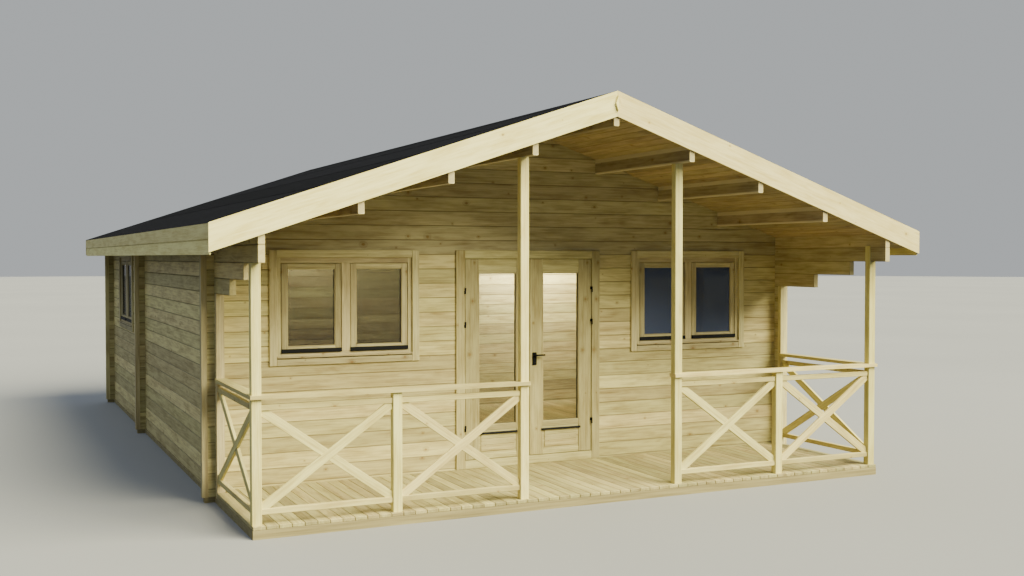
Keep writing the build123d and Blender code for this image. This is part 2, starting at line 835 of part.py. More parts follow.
with BuildPart() as right_window:
    window_frame(right_face)
    window_sashes(right_face)
right_window.part.label = "right_window"
export_step(right_window.part, "parts/right_window.step")

with BuildPart() as window_glass:
    for face in (front_left_face, front_right_face, left_face, right_face):
        window_panes(face)
window_glass.part.label = "window_glass"
export_step(window_glass.part, "parts/window_glass.step")

# Door frame with its sill, stops and trims
with BuildPart() as door_frame:
    outer_x = half_door - frame_clearance
    clear_x = half_door - door_jamb
    clear_z = (front_base + door_sill, head_height - door_head)
    trim_x = half_door + trim_lap
    trim_z = head_height + trim_lap
    inner_trim_y = wall_y + log_thickness
    span((-outer_x, outer_x), (wall_y, inner_trim_y), (front_base, head_height - frame_clearance))
    for y in (wall_y - trim_thickness, inner_trim_y):
        span((-trim_x, trim_x), (y, y + trim_thickness), (floor_height, trim_z))
    stop_x = clear_x - door_stop
    stop_y = leaf_y + leaf_thickness + door_gap
    span((-clear_x, clear_x), (wall_y - trim_thickness, stop_y), (clear_z[0], clear_z[1]), Mode.SUBTRACT)
    span((-stop_x, stop_x), (stop_y, inner_trim_y + trim_thickness),
         (clear_z[0] + door_stop, clear_z[1] - door_stop), Mode.SUBTRACT)
door_frame.part.label = "door_frame"
export_step(door_frame.part, "parts/door_frame.step")


# Door leaves, each a glazed frame over a fielded panel
glass_bottom = leaf_bottom + leaf_bottom_rail
glass_top = leaf_top - leaf_top_rail
glass_x = (leaf_inner_x + leaf_stile, leaf_outer_x - leaf_stile)
pane_y = leaf_y + (leaf_thickness - glass_thickness) / 2


def door_leaf(side):
    def across(x):
        return sorted((side * x[0], side * x[1]))

    depth = (leaf_y, leaf_y + leaf_thickness)
    span(across((leaf_inner_x, leaf_outer_x)), depth, (leaf_bottom, leaf_top))
    span(across(glass_x), depth, (glass_bottom, glass_top), Mode.SUBTRACT)
    groove = (glass_x[0] - glass_rebate, glass_x[1] + glass_rebate)
    span(across(groove), (pane_y - glass_gap, pane_y + glass_thickness + glass_gap),
         (glass_bottom - glass_rebate, glass_top + glass_rebate), Mode.SUBTRACT)
    low, high = leaf_bottom + leaf_panel_margin, glass_bottom - leaf_panel_margin
    panel, field = glass_x, (glass_x[0] + leaf_field_margin, glass_x[1] - leaf_field_margin)
    for y in (depth[0], depth[1] - leaf_panel_depth):
        recess = (y, y + leaf_panel_depth)
        span(across(panel), recess, (low, high), Mode.SUBTRACT)
        span(across(field), recess, (low + leaf_field_margin, high - leaf_field_margin))


def door_pane(side):
    edge = glass_rebate - glass_gap
    x = sorted((side * (glass_x[0] - edge), side * (glass_x[1] + edge)))
    span(x, (pane_y, pane_y + glass_thickness), (glass_bottom - edge, glass_top + edge))


with BuildPart() as left_door_leaf:
    door_leaf(-1)
left_door_leaf.part.label = "left_door_leaf"
export_step(left_door_leaf.part, "parts/left_door_leaf.step")

with BuildPart() as left_door_glass:
    door_pane(-1)
left_door_glass.part.label = "left_door_glass"
export_step(left_door_glass.part, "parts/left_door_glass.step")

spindle_z = handle_height + lever_rise
with BuildPart() as right_door_leaf:
    door_leaf(1)
    with Locations(Plane((handle_place, leaf_y, spindle_z), z_dir=(0, -1, 0))):
        Hole(spindle_radius + spindle_clearance)
right_door_leaf.part.label = "right_door_leaf"
export_step(right_door_leaf.part, "parts/right_door_leaf.step")

with BuildPart() as right_door_glass:
    door_pane(1)
right_door_glass.part.label = "right_door_glass"
export_step(right_door_glass.part, "parts/right_door_glass.step")


# Door handle: a plate and a lever on each side, on one spindle
def handle_side(face, turn):
    """Plate, neck and flat lever on one side of the leaf; the plane's origin is on the spindle."""
    with BuildSketch(face) as profile:
        with Locations((0, -lever_rise)):
            plate = Rectangle(handle_plate_width, handle_plate_height)
        chamfer(plate.vertices(), handle_plate_thickness / 2)
    extrude(profile.sketch, amount=handle_plate_thickness)
    with BuildSketch(face) as profile:
        Circle(neck_radius)
    extrude(profile.sketch, amount=lever_reach)
    with BuildSketch(face.offset(lever_reach)) as profile:
        with Locations((turn * (lever_length - lever_width) / 2, 0)):
            lever = Rectangle(lever_length, lever_width)
        chamfer(lever.vertices(), lever_width / 5)
    extrude(profile.sketch, amount=-handle_plate_thickness)


with BuildPart() as door_handle:
    back_y = leaf_y + leaf_thickness
    outside = Plane((handle_place, leaf_y, spindle_z), x_dir=(1, 0, 0), z_dir=(0, -1, 0))
    inside = Plane((handle_place, back_y, spindle_z), x_dir=(-1, 0, 0), z_dir=(0, 1, 0))
    with BuildSketch(outside):
        Circle(spindle_radius)
    extrude(amount=-leaf_thickness)
    for face, turn in ((outside, 1), (inside, -1)):
        handle_side(face, turn)
door_handle.part.label = "door_handle"
export_step(door_handle.part, "parts/door_handle.step")


# Hinges: the lower half of each knuckle is on the frame, the upper half on the leaf
def knuckle(side, bottom, top):
    with BuildSketch(Plane.XY.offset(bottom)) as profile:
        with Locations((side * hinge_x, hinge_y)):
            Circle(hinge_radius)
    extrude(profile.sketch, amount=top - bottom)


def frame_hinge(side, bottom, top):
    """Knuckle with a plate on the trim."""
    knuckle(side, bottom, top)
    plate_y = wall_y - trim_thickness
    span(sorted((side * hinge_x, side * (hinge_x + hinge_plate_width))),
         (plate_y - hinge_plate_thickness, plate_y), (bottom, top))


def leaf_hinge(side, bottom, top):
    """Knuckle with a plate on the leaf, bent back to it at the leaf's edge."""
    knuckle(side, bottom, top)
    web = sorted((side * leaf_outer_x, side * (leaf_outer_x - hinge_plate_thickness)))
    span(web, (hinge_y, leaf_y), (bottom, top))
    span(sorted((side * leaf_outer_x, side * (leaf_outer_x - hinge_plate_width))),
         (leaf_y - hinge_plate_thickness, leaf_y), (bottom, top))


with BuildPart() as frame_hinges:
    for side in (-1, 1):
        for z in hinge_centres:
            frame_hinge(side, z - hinge_height / 2, z - hinge_split)
frame_hinges.part.label = "frame_hinges"
export_step(frame_hinges.part, "parts/frame_hinges.step")

with BuildPart() as left_leaf_hinges:
    for z in hinge_centres:
        leaf_hinge(-1, z, z + hinge_height / 2)
left_leaf_hinges.part.label = "left_leaf_hinges"
export_step(left_leaf_hinges.part, "parts/left_leaf_hinges.step")

with BuildPart() as right_leaf_hinges:
    for z in hinge_centres:
        leaf_hinge(1, z, z + hinge_height / 2)
right_leaf_hinges.part.label = "right_leaf_hinges"
export_step(right_leaf_hinges.part, "parts/right_leaf_hinges.step")
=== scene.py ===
import math

import bmesh
import bpy
from mathutils import Matrix, Vector


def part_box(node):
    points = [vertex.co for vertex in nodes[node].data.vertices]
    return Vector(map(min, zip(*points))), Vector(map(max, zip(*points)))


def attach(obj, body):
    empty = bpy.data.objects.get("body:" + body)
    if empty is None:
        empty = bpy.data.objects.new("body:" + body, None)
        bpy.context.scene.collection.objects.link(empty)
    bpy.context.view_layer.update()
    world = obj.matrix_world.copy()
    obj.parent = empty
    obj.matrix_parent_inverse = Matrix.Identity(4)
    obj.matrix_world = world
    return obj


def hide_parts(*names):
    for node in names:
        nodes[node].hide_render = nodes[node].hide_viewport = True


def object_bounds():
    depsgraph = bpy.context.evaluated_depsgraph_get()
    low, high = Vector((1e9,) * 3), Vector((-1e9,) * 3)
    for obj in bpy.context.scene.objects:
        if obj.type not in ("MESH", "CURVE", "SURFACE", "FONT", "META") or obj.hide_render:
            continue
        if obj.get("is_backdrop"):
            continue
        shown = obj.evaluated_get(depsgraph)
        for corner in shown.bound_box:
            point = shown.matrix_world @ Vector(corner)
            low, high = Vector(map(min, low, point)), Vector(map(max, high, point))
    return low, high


bl_info = {
    "name": "Log cabin with a covered terrace",
    "version": (1, 0, 0),
    "blender": (4, 5, 0),
    "location": "View3D > Sidebar > Cabin",
    "description": "Dresses the cabin with boards, joinery, felt, glass and fittings",
    "category": "Object",
}

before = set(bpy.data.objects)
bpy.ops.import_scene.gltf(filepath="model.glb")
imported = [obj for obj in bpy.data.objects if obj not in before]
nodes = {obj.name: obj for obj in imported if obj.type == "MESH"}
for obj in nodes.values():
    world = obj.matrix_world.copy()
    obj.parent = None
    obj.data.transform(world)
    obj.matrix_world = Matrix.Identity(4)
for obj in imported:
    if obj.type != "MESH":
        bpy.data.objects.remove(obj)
cad_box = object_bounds()

# Places that the boards and joinery keep to, in metres
LOG_PITCH = 0.133
LOG_DEPTH = 0.050
LOG_OVERHANG = 0.095
SIDE_LOG_BASE = 0.045
FRONT_LOG_BASE = 0.1115
HEAD_HEIGHT = 2.1065
FLOOR_TOP = 0.097
FLOOR_GAP = 0.005
WALL_FACE = -3.010
WALL_BACK = WALL_FACE + LOG_DEPTH
SIDE_WALL_X = 2.948
SIDE_FACE = SIDE_WALL_X + LOG_DEPTH / 2
PARTITION = (1.235, 1.285)
POST_FACE = -4.445
POST_DEPTH = 0.066
POST_WIDTH = 0.075
RAIL_BACK = 0.010
PANEL_RECESS = 0.012
PURLIN_DEPTH = 0.140
BARGE_MIDDLE = 0.1025
FELT, DECK, BATTEN, LINING = 0.005, 0.018, 0.120, 0.019
GLASS_BITE = 0.010
PANE, PANE_APART, PANE_EASE = 0.004, 0.019, 0.0005
ROOF_PITCH = math.radians(18.72)
APEX = cad_box[1].z
EAVE = cad_box[1].x
ROOF_SLOPE = EAVE / math.cos(ROOF_PITCH)
UPRIGHT = Matrix.Rotation(math.pi / 2, 4, "X")

# How far the arrises of boards are eased, those of slim strips, and those of what is built in between others
EASE, SLIM_EASE, BUILT_IN_EASE = 0.003, 0.002, 0.001
# How far a face stands behind the one it meets, and the play of a part in its place
SEAT, FIT = 0.0005, 0.0003

# Numbers that give each log and board its own grain: they only have to differ from piece to piece
SEED_STEP = 10.0
SEEDS = 90
WALLS_A_METRE = 0.9
WALL_STRIDE, STACK_STRIDE, CELL_STRIDE, RAIL_STRIDE, BARGE_STRIDE = 37.0, 53.0, 17.0, 5.0, 3.0


def paint(code):
    """An sRGB hex colour as linear RGBA."""
    parts = [int(code[place:place + 2], 16) / 255 for place in (1, 3, 5)]
    return [p / 12.92 if p <= 0.04045 else ((p + 0.055) / 1.055) ** 2.4 for p in parts] + [1.0]


class CabinSizes(bpy.types.PropertyGroup):
    """Widths of the boards that lie on the cabin."""

    terrace_board: bpy.props.FloatProperty(
        name="Terrace board", description="Width of a terrace board with its gap",
        default=0.0985, min=0.06, max=0.2, unit="LENGTH")
    terrace_gap: bpy.props.FloatProperty(
        name="Terrace gap", description="Gap between terrace boards",
        default=0.0035, min=0.001, max=0.012, unit="LENGTH")
    floor_board: bpy.props.FloatProperty(
        name="Floor board", description="Cover width of a room floor board",
        default=0.088, min=0.05, max=0.2, unit="LENGTH")
    soffit_board: bpy.props.FloatProperty(
        name="Roof board", description="Cover width of a grooved roof board",
        default=0.096, min=0.05, max=0.2, unit="LENGTH")
    felt_width: bpy.props.FloatProperty(
        name="Felt width", description="Width of a strip of roofing felt",
        default=0.98, min=0.3, max=1.2, unit="LENGTH")
    felt_lap: bpy.props.FloatProperty(
        name="Felt lap", description="How far a strip of felt laps the one below",
        default=0.09, min=0.03, max=0.2, unit="LENGTH")
    screw_head: bpy.props.FloatProperty(
        name="Screw head", description="Diameter of a screw head",
        default=0.009, min=0.004, max=0.02, unit="LENGTH")


class CabinColours(bpy.types.PropertyGroup):
    """Colours of the cabin's finishes."""

    pine_light: bpy.props.FloatVectorProperty(
        name="Early wood", description="Pale wood between the year rings",
        default=paint("#d7c98f"), size=4, min=0, max=1, subtype="COLOR")
    pine_dark: bpy.props.FloatVectorProperty(
        name="Late wood", description="Darker lines of the year rings",
        default=paint("#9d8756"), size=4, min=0, max=1, subtype="COLOR")
    pine_knot: bpy.props.FloatVectorProperty(
        name="Knots", description="Middle of a knot",
        default=paint("#86602f"), size=4, min=0, max=1, subtype="COLOR")
    base_green: bpy.props.FloatVectorProperty(
        name="Treated base", description="Pressure treated bearers and joists",
        default=paint("#a3966a"), size=4, min=0, max=1, subtype="COLOR")
    felt: bpy.props.FloatVectorProperty(
        name="Felt", description="Mineral face of the roofing felt",
        default=paint("#08080c"), size=4, min=0, max=1, subtype="COLOR")
    metal: bpy.props.FloatVectorProperty(
        name="Metal", description="Hinges, handle and drip bars",
        default=paint("#08080a"), size=4, min=0, max=1, subtype="COLOR")
    window_glass: bpy.props.FloatVectorProperty(
        name="Window glass", description="Tint of the window glass",
        default=paint("#0e1428"), size=4, min=0, max=1, subtype="COLOR")


def fill(tree, node, inputs):
    """Gives a node's inputs their values or links; a node stands for the first of its outputs in use."""
    for name, value in inputs.items():
        if isinstance(value, bpy.types.Node):
            value = next(output for output in value.outputs if output.enabled)
        if isinstance(value, bpy.types.NodeSocket):
            tree.links.new(value, node.inputs[name])
        else:
            node.inputs[name].default_value = value


def add(tree, kind, inputs=(), **settings):
    """Adds a shader node with its settings, and values or links for its inputs."""
    node = tree.nodes.new("ShaderNode" + kind)
    for name, value in settings.items():
        setattr(node, name, value)
    fill(tree, node, dict(inputs))
    return node


def new_material(name):
    """An empty node material: its tree, its shader and its place in the object's own axes."""
    material = bpy.data.materials.new(name)
    material.use_nodes = True
    tree = material.node_tree
    tree.nodes.clear()
    shader = add(tree, "BsdfPrincipled")
    add(tree, "OutputMaterial", {"Surface": shader})
    return tree, shader, add(tree, "TexCoord").outputs["Object"]


def log_place(along, base, split=False):
    """Place in a wall of stacked logs: along the grain, up from a log's middle, through it, its number."""
    def place(tree, spot):
        axes = add(tree, "SeparateXYZ", {0: spot}).outputs
        run, depth = (axes["X"], axes["Y"]) if along == "X" else (axes["Y"], axes["X"])
        rows = add(tree, "Math", {0: axes["Z"], 1: base}, operation="SUBTRACT")
        rows = add(tree, "Math", {0: rows, 1: LOG_PITCH}, operation="DIVIDE")
        row = add(tree, "Math", {0: rows}, operation="FLOOR")
        up = add(tree, "Math", {0: rows}, operation="FRACT")
        up = add(tree, "Math", {0: up, 1: LOG_PITCH, 2: -LOG_PITCH / 2}, operation="MULTIPLY_ADD")
        wall = add(tree, "Math", {0: depth, 1: WALLS_A_METRE}, operation="MULTIPLY")
        wall = add(tree, "Math", {0: wall}, operation="FLOOR")
        number = add(tree, "Math", {0: wall, 1: WALL_STRIDE, 2: row}, operation="MULTIPLY_ADD")
        if split:
            # The logs left and right of the doorway are two stacks, and above it they run through
            right = add(tree, "Math", {0: run, 1: 0.0}, operation="GREATER_THAN")
            low = add(tree, "Math", {0: axes["Z"], 1: HEAD_HEIGHT}, operation="LESS_THAN")
            stack = add(tree, "Math", {0: right, 1: low}, operation="MULTIPLY")
            number = add(tree, "Math", {0: stack, 1: STACK_STRIDE, 2: number}, operation="MULTIPLY_ADD")
        return run, up, depth, number
    return place


def timber_place(along, cell):
    """Place in separate timbers at least a cell apart: along the grain, up, through it, its number."""
    def place(tree, spot):
        axes = add(tree, "SeparateXYZ", {0: spot}).outputs
        run, up, depth = [axes[axis] for axis in {"Y": "YZX", "Z": "ZXY"}[along]]
        cells = []
        for axis in (up, depth):
            order = add(tree, "Math", {0: axis, 1: cell}, operation="DIVIDE")
            cells.append(add(tree, "Math", {0: order}, operation="FLOOR"))
        number = add(tree, "Math", {0: cells[0], 1: CELL_STRIDE, 2: cells[1]}, operation="MULTIPLY_ADD")
        return run, up, depth, number
    return place


def purlin_place(tree, spot):
    """Place in the purlins, where up starts from the middle of a side whose top edge follows the roof."""
    run, up, across, number = timber_place("Y", 0.7)(tree, spot)
    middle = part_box("ridge_purlin")[1].z - PURLIN_DEPTH / 2
    side = add(tree, "Math", {0: across}, operation="ABSOLUTE")
    up = add(tree, "Math", {0: side, 1: math.tan(ROOF_PITCH), 2: up}, operation="MULTIPLY_ADD")
    return run, add(tree, "Math", {0: up, 1: middle}, operation="SUBTRACT"), across, number


def barge_place(tree, spot):
    """Place in the boards that follow the roof's slope on both sides of the ridge."""
    axes = add(tree, "SeparateXYZ", {0: spot}).outputs
    level, steep = math.cos(ROOF_PITCH), math.sin(ROOF_PITCH)
    side = add(tree, "Math", {0: axes["X"]}, operation="ABSOLUTE")
    run = add(tree, "Math", {0: axes["Z"], 1: -steep}, operation="MULTIPLY")
    run = add(tree, "Math", {0: side, 1: level, 2: run}, operation="MULTIPLY_ADD")
    up = add(tree, "Math", {0: axes["Z"], 1: level, 2: BARGE_MIDDLE - APEX * level}, operation="MULTIPLY_ADD")
    up = add(tree, "Math", {0: side, 1: steep, 2: up}, operation="MULTIPLY_ADD")
    right = add(tree, "Math", {0: axes["X"], 1: 0.0}, operation="GREATER_THAN")
    end = add(tree, "Math", {0: axes["Y"]}, operation="FLOOR")
    number = add(tree, "Math", {0: right, 1: BARGE_STRIDE, 2: end}, operation="MULTIPLY_ADD")
    return run, up, axes["Y"], number


def rail_place(tree, spot):
    """Place in the handrails: the front ones run along X and the side ones along Y."""
    axes = add(tree, "SeparateXYZ", {0: spot}).outputs
    back = POST_FACE + POST_DEPTH + RAIL_BACK
    front = add(tree, "Math", {0: axes["Y"], 1: back}, operation="LESS_THAN")
    run = add(tree, "Mix", {0: front, 2: axes["Y"], 3: axes["X"]})
    across = add(tree, "Mix", {0: front, 2: axes["X"], 3: axes["Y"]})
    side = add(tree, "Math", {0: axes["X"]}, operation="SIGN")
    number = add(tree, "Math", {0: front, 1: RAIL_STRIDE, 2: side}, operation="MULTIPLY_ADD")
    return run, across, axes["Z"], number


def board_place(tree, spot):
    """Place in boards that carry their own grain: the run of each starts a seed step after the last one's."""
    grain = add(tree, "Attribute", attribute_name="grain").outputs["Vector"]
    axes = add(tree, "SeparateXYZ", {0: grain}).outputs
    steps = add(tree, "Math", {0: axes["X"], 1: SEED_STEP}, operation="DIVIDE")
    return axes["X"], axes["Y"], axes["Z"], add(tree, "Math", {0: steps}, operation="ROUND")


def pine_knots(tree, own, up, number, width):
    """Knots up to 28 mm across, at most one in each step of a piece, and the grain that curls round them."""
    step = 0.42
    run = add(tree, "Math", {0: add(tree, "SeparateXYZ", {0: own}), 1: step}, operation="DIVIDE")
    cell = add(tree, "Math", {0: run}, operation="FLOOR")
    chance = add(tree, "CombineXYZ", {0: cell, 1: number})
    chance = add(tree, "TexWhiteNoise", {0: chance}, noise_dimensions="2D").outputs["Color"]
    chances = add(tree, "SeparateXYZ", {0: chance}).outputs
    middle = add(tree, "Math", {0: chances["X"], 1: 0.6, 2: 0.2}, operation="MULTIPLY_ADD")
    run = add(tree, "Math", {0: run}, operation="FRACT")
    run = add(tree, "Math", {0: run, 1: middle}, operation="SUBTRACT")
    run = add(tree, "Math", {0: run, 1: step * 0.8}, operation="MULTIPLY")
    middle = add(tree, "Math", {0: chances["Y"], 1: -width * 0.9, 2: width * 0.45}, operation="MULTIPLY_ADD")
    up = add(tree, "Math", {0: middle, 1: up}, operation="ADD")
    away = add(tree, "CombineXYZ", {0: run, 1: up})
    away = add(tree, "VectorMath", {0: away}, operation="LENGTH")
    size = add(tree, "MapRange", {0: chances["Z"], 1: 0.62, 2: 1.0, 3: 0.0008, 4: 0.012})
    reach = add(tree, "Math", {0: away, 1: size}, operation="DIVIDE")
    knot = add(tree, "MapRange", {0: reach, 1: 0.7, 2: 1.15, 3: 1.0, 4: 0.0}, interpolation_type="SMOOTHSTEP")
    halo = add(tree, "MapRange", {0: reach, 1: 0.9, 2: 3.6, 3: 1.0, 4: 0.0}, interpolation_type="SMOOTHSTEP")
    return knot, halo


def year_rings(tree, luck, spot, wander, halo):
    """Late wood by the distance from a pith up to 0.11 m off, with the stem's slow wander along the board.

    The rings of real pine lie 2 to 4 mm apart, which the picture can't show, so they are drawn 9 mm apart.
    """
    spacing, pith = 0.009, 0.11
    stem = add(tree, "VectorMath", {0: luck, 1: (0.0, 2 * pith, 2 * pith), 2: spot}, operation="MULTIPLY_ADD")
    stem = add(tree, "VectorMath", {0: stem, 1: (0.0, -pith, -pith)}, operation="ADD")
    stem = add(tree, "VectorMath", {0: stem, 1: (0.0, 1.0, 1.0)}, operation="MULTIPLY")
    radius = add(tree, "VectorMath", {0: stem}, operation="LENGTH")
    radius = add(tree, "Math", {0: wander, 1: 0.085, 2: radius}, operation="MULTIPLY_ADD")
    radius = add(tree, "Math", {0: halo, 1: 0.012, 2: radius}, operation="MULTIPLY_ADD")
    wave = add(tree, "Math", {0: radius, 1: 2 * math.pi / spacing}, operation="MULTIPLY")
    wave = add(tree, "Math", {0: wave}, operation="SINE")
    return add(tree, "MapRange", {0: wave, 1: -0.3, 2: 1.0, 3: 0.0, 4: 1.0}, interpolation_type="SMOOTHSTEP")


def pine_covers(tree, up, knot, end_axis, joint, sapwood):
    """What lies over the grain, as pairs of how far it covers it and its tint."""
    covers = [(add(tree, "Math", {0: knot, 1: 0.6}, operation="MULTIPLY"),
               list(bpy.context.scene.cabin_colours.pine_knot))]
    if sapwood:
        # Paler bands run along the top and bottom of each side, with a darker band between them a little
        # below the middle
        heart = add(tree, "Math", {0: up, 1: 0.012}, operation="ADD")
        heart = add(tree, "Math", {0: heart}, operation="ABSOLUTE")
        pale = add(tree, "MapRange", {0: heart, 1: 0.041, 2: 0.049, 3: 0.0, 4: sapwood},
                   interpolation_type="SMOOTHSTEP")
        covers.append((pale, paint("#eadfbe")))
    if end_axis:
        # Sawn ends are drawn half way towards one pale straw colour
        facing = add(tree, "SeparateXYZ", {0: add(tree, "TexCoord").outputs["Normal"]}).outputs[end_axis]
        end = add(tree, "Math", {0: facing}, operation="ABSOLUTE")
        end = add(tree, "Math", {0: end, 1: 0.8}, operation="GREATER_THAN")
        covers.append((add(tree, "Math", {0: end, 1: 0.5}, operation="MULTIPLY"), paint("#d9c88c")))
    if joint:
        # Shade and dust gather in the groove where two logs meet
        edge = add(tree, "Math", {0: up}, operation="ABSOLUTE")
        edge = add(tree, "MapRange", {
            0: edge, 1: LOG_PITCH / 2 - 0.0075, 2: LOG_PITCH / 2 - 0.002, 3: 0.0, 4: joint},
            interpolation_type="SMOOTHSTEP")
        covers.append((edge, paint("#4f3c20")))
    return covers


def pine(name, place, width=0.12, light=None, dark=None, shade=0.0, spread=0.34, end_axis=None,
         joint=0.0, sapwood=0.0):
    """Planed softwood: year rings, fibre streaks, stains and knots, with a tone of its own for each piece."""
    colours = bpy.context.scene.cabin_colours
    light, dark = light or list(colours.pine_light), dark or list(colours.pine_dark)
    tree, shader, object_place = new_material(name)
    run, up, depth, number = place(tree, object_place)
    spot = add(tree, "CombineXYZ", {0: run, 1: up, 2: depth})
    luck = add(tree, "TexWhiteNoise", {"W": number}, noise_dimensions="1D").outputs["Color"]
    lucks = add(tree, "SeparateXYZ", {0: luck}).outputs
    own = add(tree, "VectorMath", {0: luck, 1: (41.0, 3.0, 3.0), 2: spot}, operation="MULTIPLY_ADD")
    noises = []
    # A stem wanders over 1 m, streaks are 16 mm wide, stains 70 mm, and fibres, under 1 mm, are drawn 2.4 mm
    for along, across, detail, roughness in (
            (0.9, 7.0, 2.0, 0.5), (2.0, 62.0, 3.0, 0.6), (9.0, 420.0, 2.0, 0.5), (2.6, 15.0, 4.0, 0.6)):
        way = add(tree, "VectorMath", {0: own, 1: (along, across, across)}, operation="MULTIPLY")
        noises.append(add(tree, "TexNoise", {
            "Vector": way, "Scale": 1.0, "Detail": detail, "Roughness": roughness}))
    wander, streak, fibre, stain = noises
    knot, halo = pine_knots(tree, own, up, number, width)
    rings = year_rings(tree, luck, spot, wander, halo)

    # Colour: rings, streaks, fibres, stains and halos, then the piece's own tone, then what lies over it
    grain = add(tree, "MapRange", {0: streak, 1: 0.34, 2: 0.7, 3: 0.0, 4: 0.5})
    grain = add(tree, "Math", {0: rings, 1: 0.15, 2: grain}, operation="MULTIPLY_ADD")
    for noise, weight in ((fibre, 0.25), (stain, 1.9)):
        part = add(tree, "Math", {0: noise, 1: 0.5}, operation="SUBTRACT")
        grain = add(tree, "Math", {0: part, 1: weight, 2: grain}, operation="MULTIPLY_ADD")
    grain = add(tree, "Math", {0: halo, 1: 0.35, 2: grain}, operation="MULTIPLY_ADD", use_clamp=True)
    colour = add(tree, "Mix", {0: grain, 6: light, 7: dark}, data_type="RGBA")
    tone = add(tree, "MapRange", {0: lucks["X"], 3: 1.08 - shade - spread, 4: 1.08 - shade})
    warmth = add(tree, "MapRange", {0: lucks["Z"], 3: 0.496, 4: 0.512})
    colour = add(tree, "HueSaturation", {"Color": colour, "Value": tone, "Hue": warmth})
    for share, tint in pine_covers(tree, up, knot, end_axis, joint, sapwood):
        colour = add(tree, "Mix", {0: share, 6: colour, 7: tint}, data_type="RGBA")
    height = add(tree, "Math", {0: knot, 1: 0.5, 2: fibre}, operation="MULTIPLY_ADD")
    height = add(tree, "Math", {0: rings, 1: -0.35, 2: height}, operation="MULTIPLY_ADD")
    fill(tree, shader, {
        "Base Color": colour, "IOR": 1.45, "Specular IOR Level": 0.35,
        "Roughness": add(tree, "MapRange", {0: fibre, 1: 0.3, 2: 0.7, 3: 0.52, 4: 0.68}),
        "Normal": add(tree, "Bump", {"Height": height, "Strength": 0.35, "Distance": 0.0012})})


def make_pines():
    """Every pine finish of the cabin, one for each way that its timbers lie, with lighter and darker copies
    that paint light and shade.
    """
    pale, pale_dark = paint("#f1e39d"), paint("#ccb566")
    rail_light, rail_dark = paint("#e4d491"), paint("#b49c60")
    fronts, sides = log_place("X", FRONT_LOG_BASE, split=True), log_place("Y", SIDE_LOG_BASE)
    pine("planed_pine_front_logs", fronts, LOG_PITCH, shade=-0.02, spread=0.4, end_axis="X", joint=0.45)
    # The gable's logs are a greyer, darker copy of the front logs: painted shade under the roof
    pine("planed_pine_gable_logs", fronts, LOG_PITCH, paint("#d2c596"), paint("#99855a"),
         shade=0.02, end_axis="X", joint=0.4)
    # The left wall's logs are a lighter copy: painted light on the side that the lamp leaves in shade
    pine("planed_pine_side_logs", sides, LOG_PITCH, shade=-0.28, spread=0.5, end_axis="Y", joint=0.6)
    pine("planed_pine_back_logs", log_place("X", FRONT_LOG_BASE), LOG_PITCH,
         shade=-0.02, spread=0.4, end_axis="X", joint=0.45)
    # The right wall's logs are a greyer, darker copy: painted shade where they stand under the roof
    pine("planed_pine_right_logs", sides, LOG_PITCH, paint("#cdbf92"), paint("#937e58"),
         shade=0.02, end_axis="Y", joint=0.45)
    # The purlins are a greyer, darker pine: painted shade under the roof
    pine("planed_pine_purlins", purlin_place, 0.11, paint("#b2a282"), paint("#776852"),
         shade=-0.12, end_axis="Y", sapwood=0.62)
    # Pale pine for the posts: partly their smoother planed face, partly painted light on faces in full sun
    pine("planed_pine_posts", timber_place("Z", 0.35), 0.07, pale, pale_dark)
    pine("planed_pine_end_covers", timber_place("Z", 0.25), 0.06, paint("#d6c896"), paint("#9d885e"),
         shade=-0.03)
    # The barge boards are paler still: partly a smoother planed face, partly painted light on faces in full
    # sun
    pine("planed_pine_barge_boards", barge_place, 0.18, paint("#f8e9a6"), paint("#d6c070"), shade=-0.12)
    # The fascias take the pale pine, lighter still: painted light for the fascia on the shaded side
    pine("planed_pine_fascias", timber_place("Y", 0.2), 0.1, pale, pale_dark, shade=-0.14)
    pine("planed_pine_handrails", rail_place, 0.09, rail_light, rail_dark)
    pine("planed_pine_boards", board_place, 0.09)
    pine("planed_pine_joinery", board_place, 0.07, paint("#d4c696"), paint("#9a855c"), shade=0.05)
    pine("planed_pine_doors", board_place, 0.07, paint("#d4c690"), paint("#98834f"), shade=0.13)
    pine("planed_pine_railings", board_place, 0.07, rail_light, rail_dark, shade=0.03)
    # The roof boards are a browner, darker pine: painted shade under the roof
    pine("honey_toned_roof_boards", board_place, 0.09, paint("#bda880"), paint("#877252"))
    pine("planed_pine_terrace_boards", board_place, 0.09, shade=0.22)


def make_treated_pine():
    """Sawn softwood treated under pressure: greenish and dull, with the saw's marks across the grain."""
    tree, shader, place = new_material("treated_sawn_pine")
    streak = add(tree, "VectorMath", {0: place, 1: (2.0, 9.0, 60.0)}, operation="MULTIPLY")
    streak = add(tree, "TexNoise", {"Vector": streak, "Scale": 1.0, "Detail": 4.0})
    # The saw's marks lie 3 to 5 mm apart, drawn 8 mm apart to show
    saw = add(tree, "VectorMath", {0: place, 1: (120.0, 120.0, 6.0)}, operation="MULTIPLY")
    saw = add(tree, "TexNoise", {"Vector": saw, "Scale": 1.0, "Detail": 1.0})
    share = add(tree, "MapRange", {0: streak, 1: 0.3, 2: 0.7})
    green = list(bpy.context.scene.cabin_colours.base_green)
    fill(tree, shader, {
        "Base Color": add(tree, "Mix", {0: share, 6: green, 7: paint("#83764e")}, data_type="RGBA"),
        "Roughness": 0.85,
        "Normal": add(tree, "Bump", {"Height": saw, "Strength": 0.5, "Distance": 0.001})})


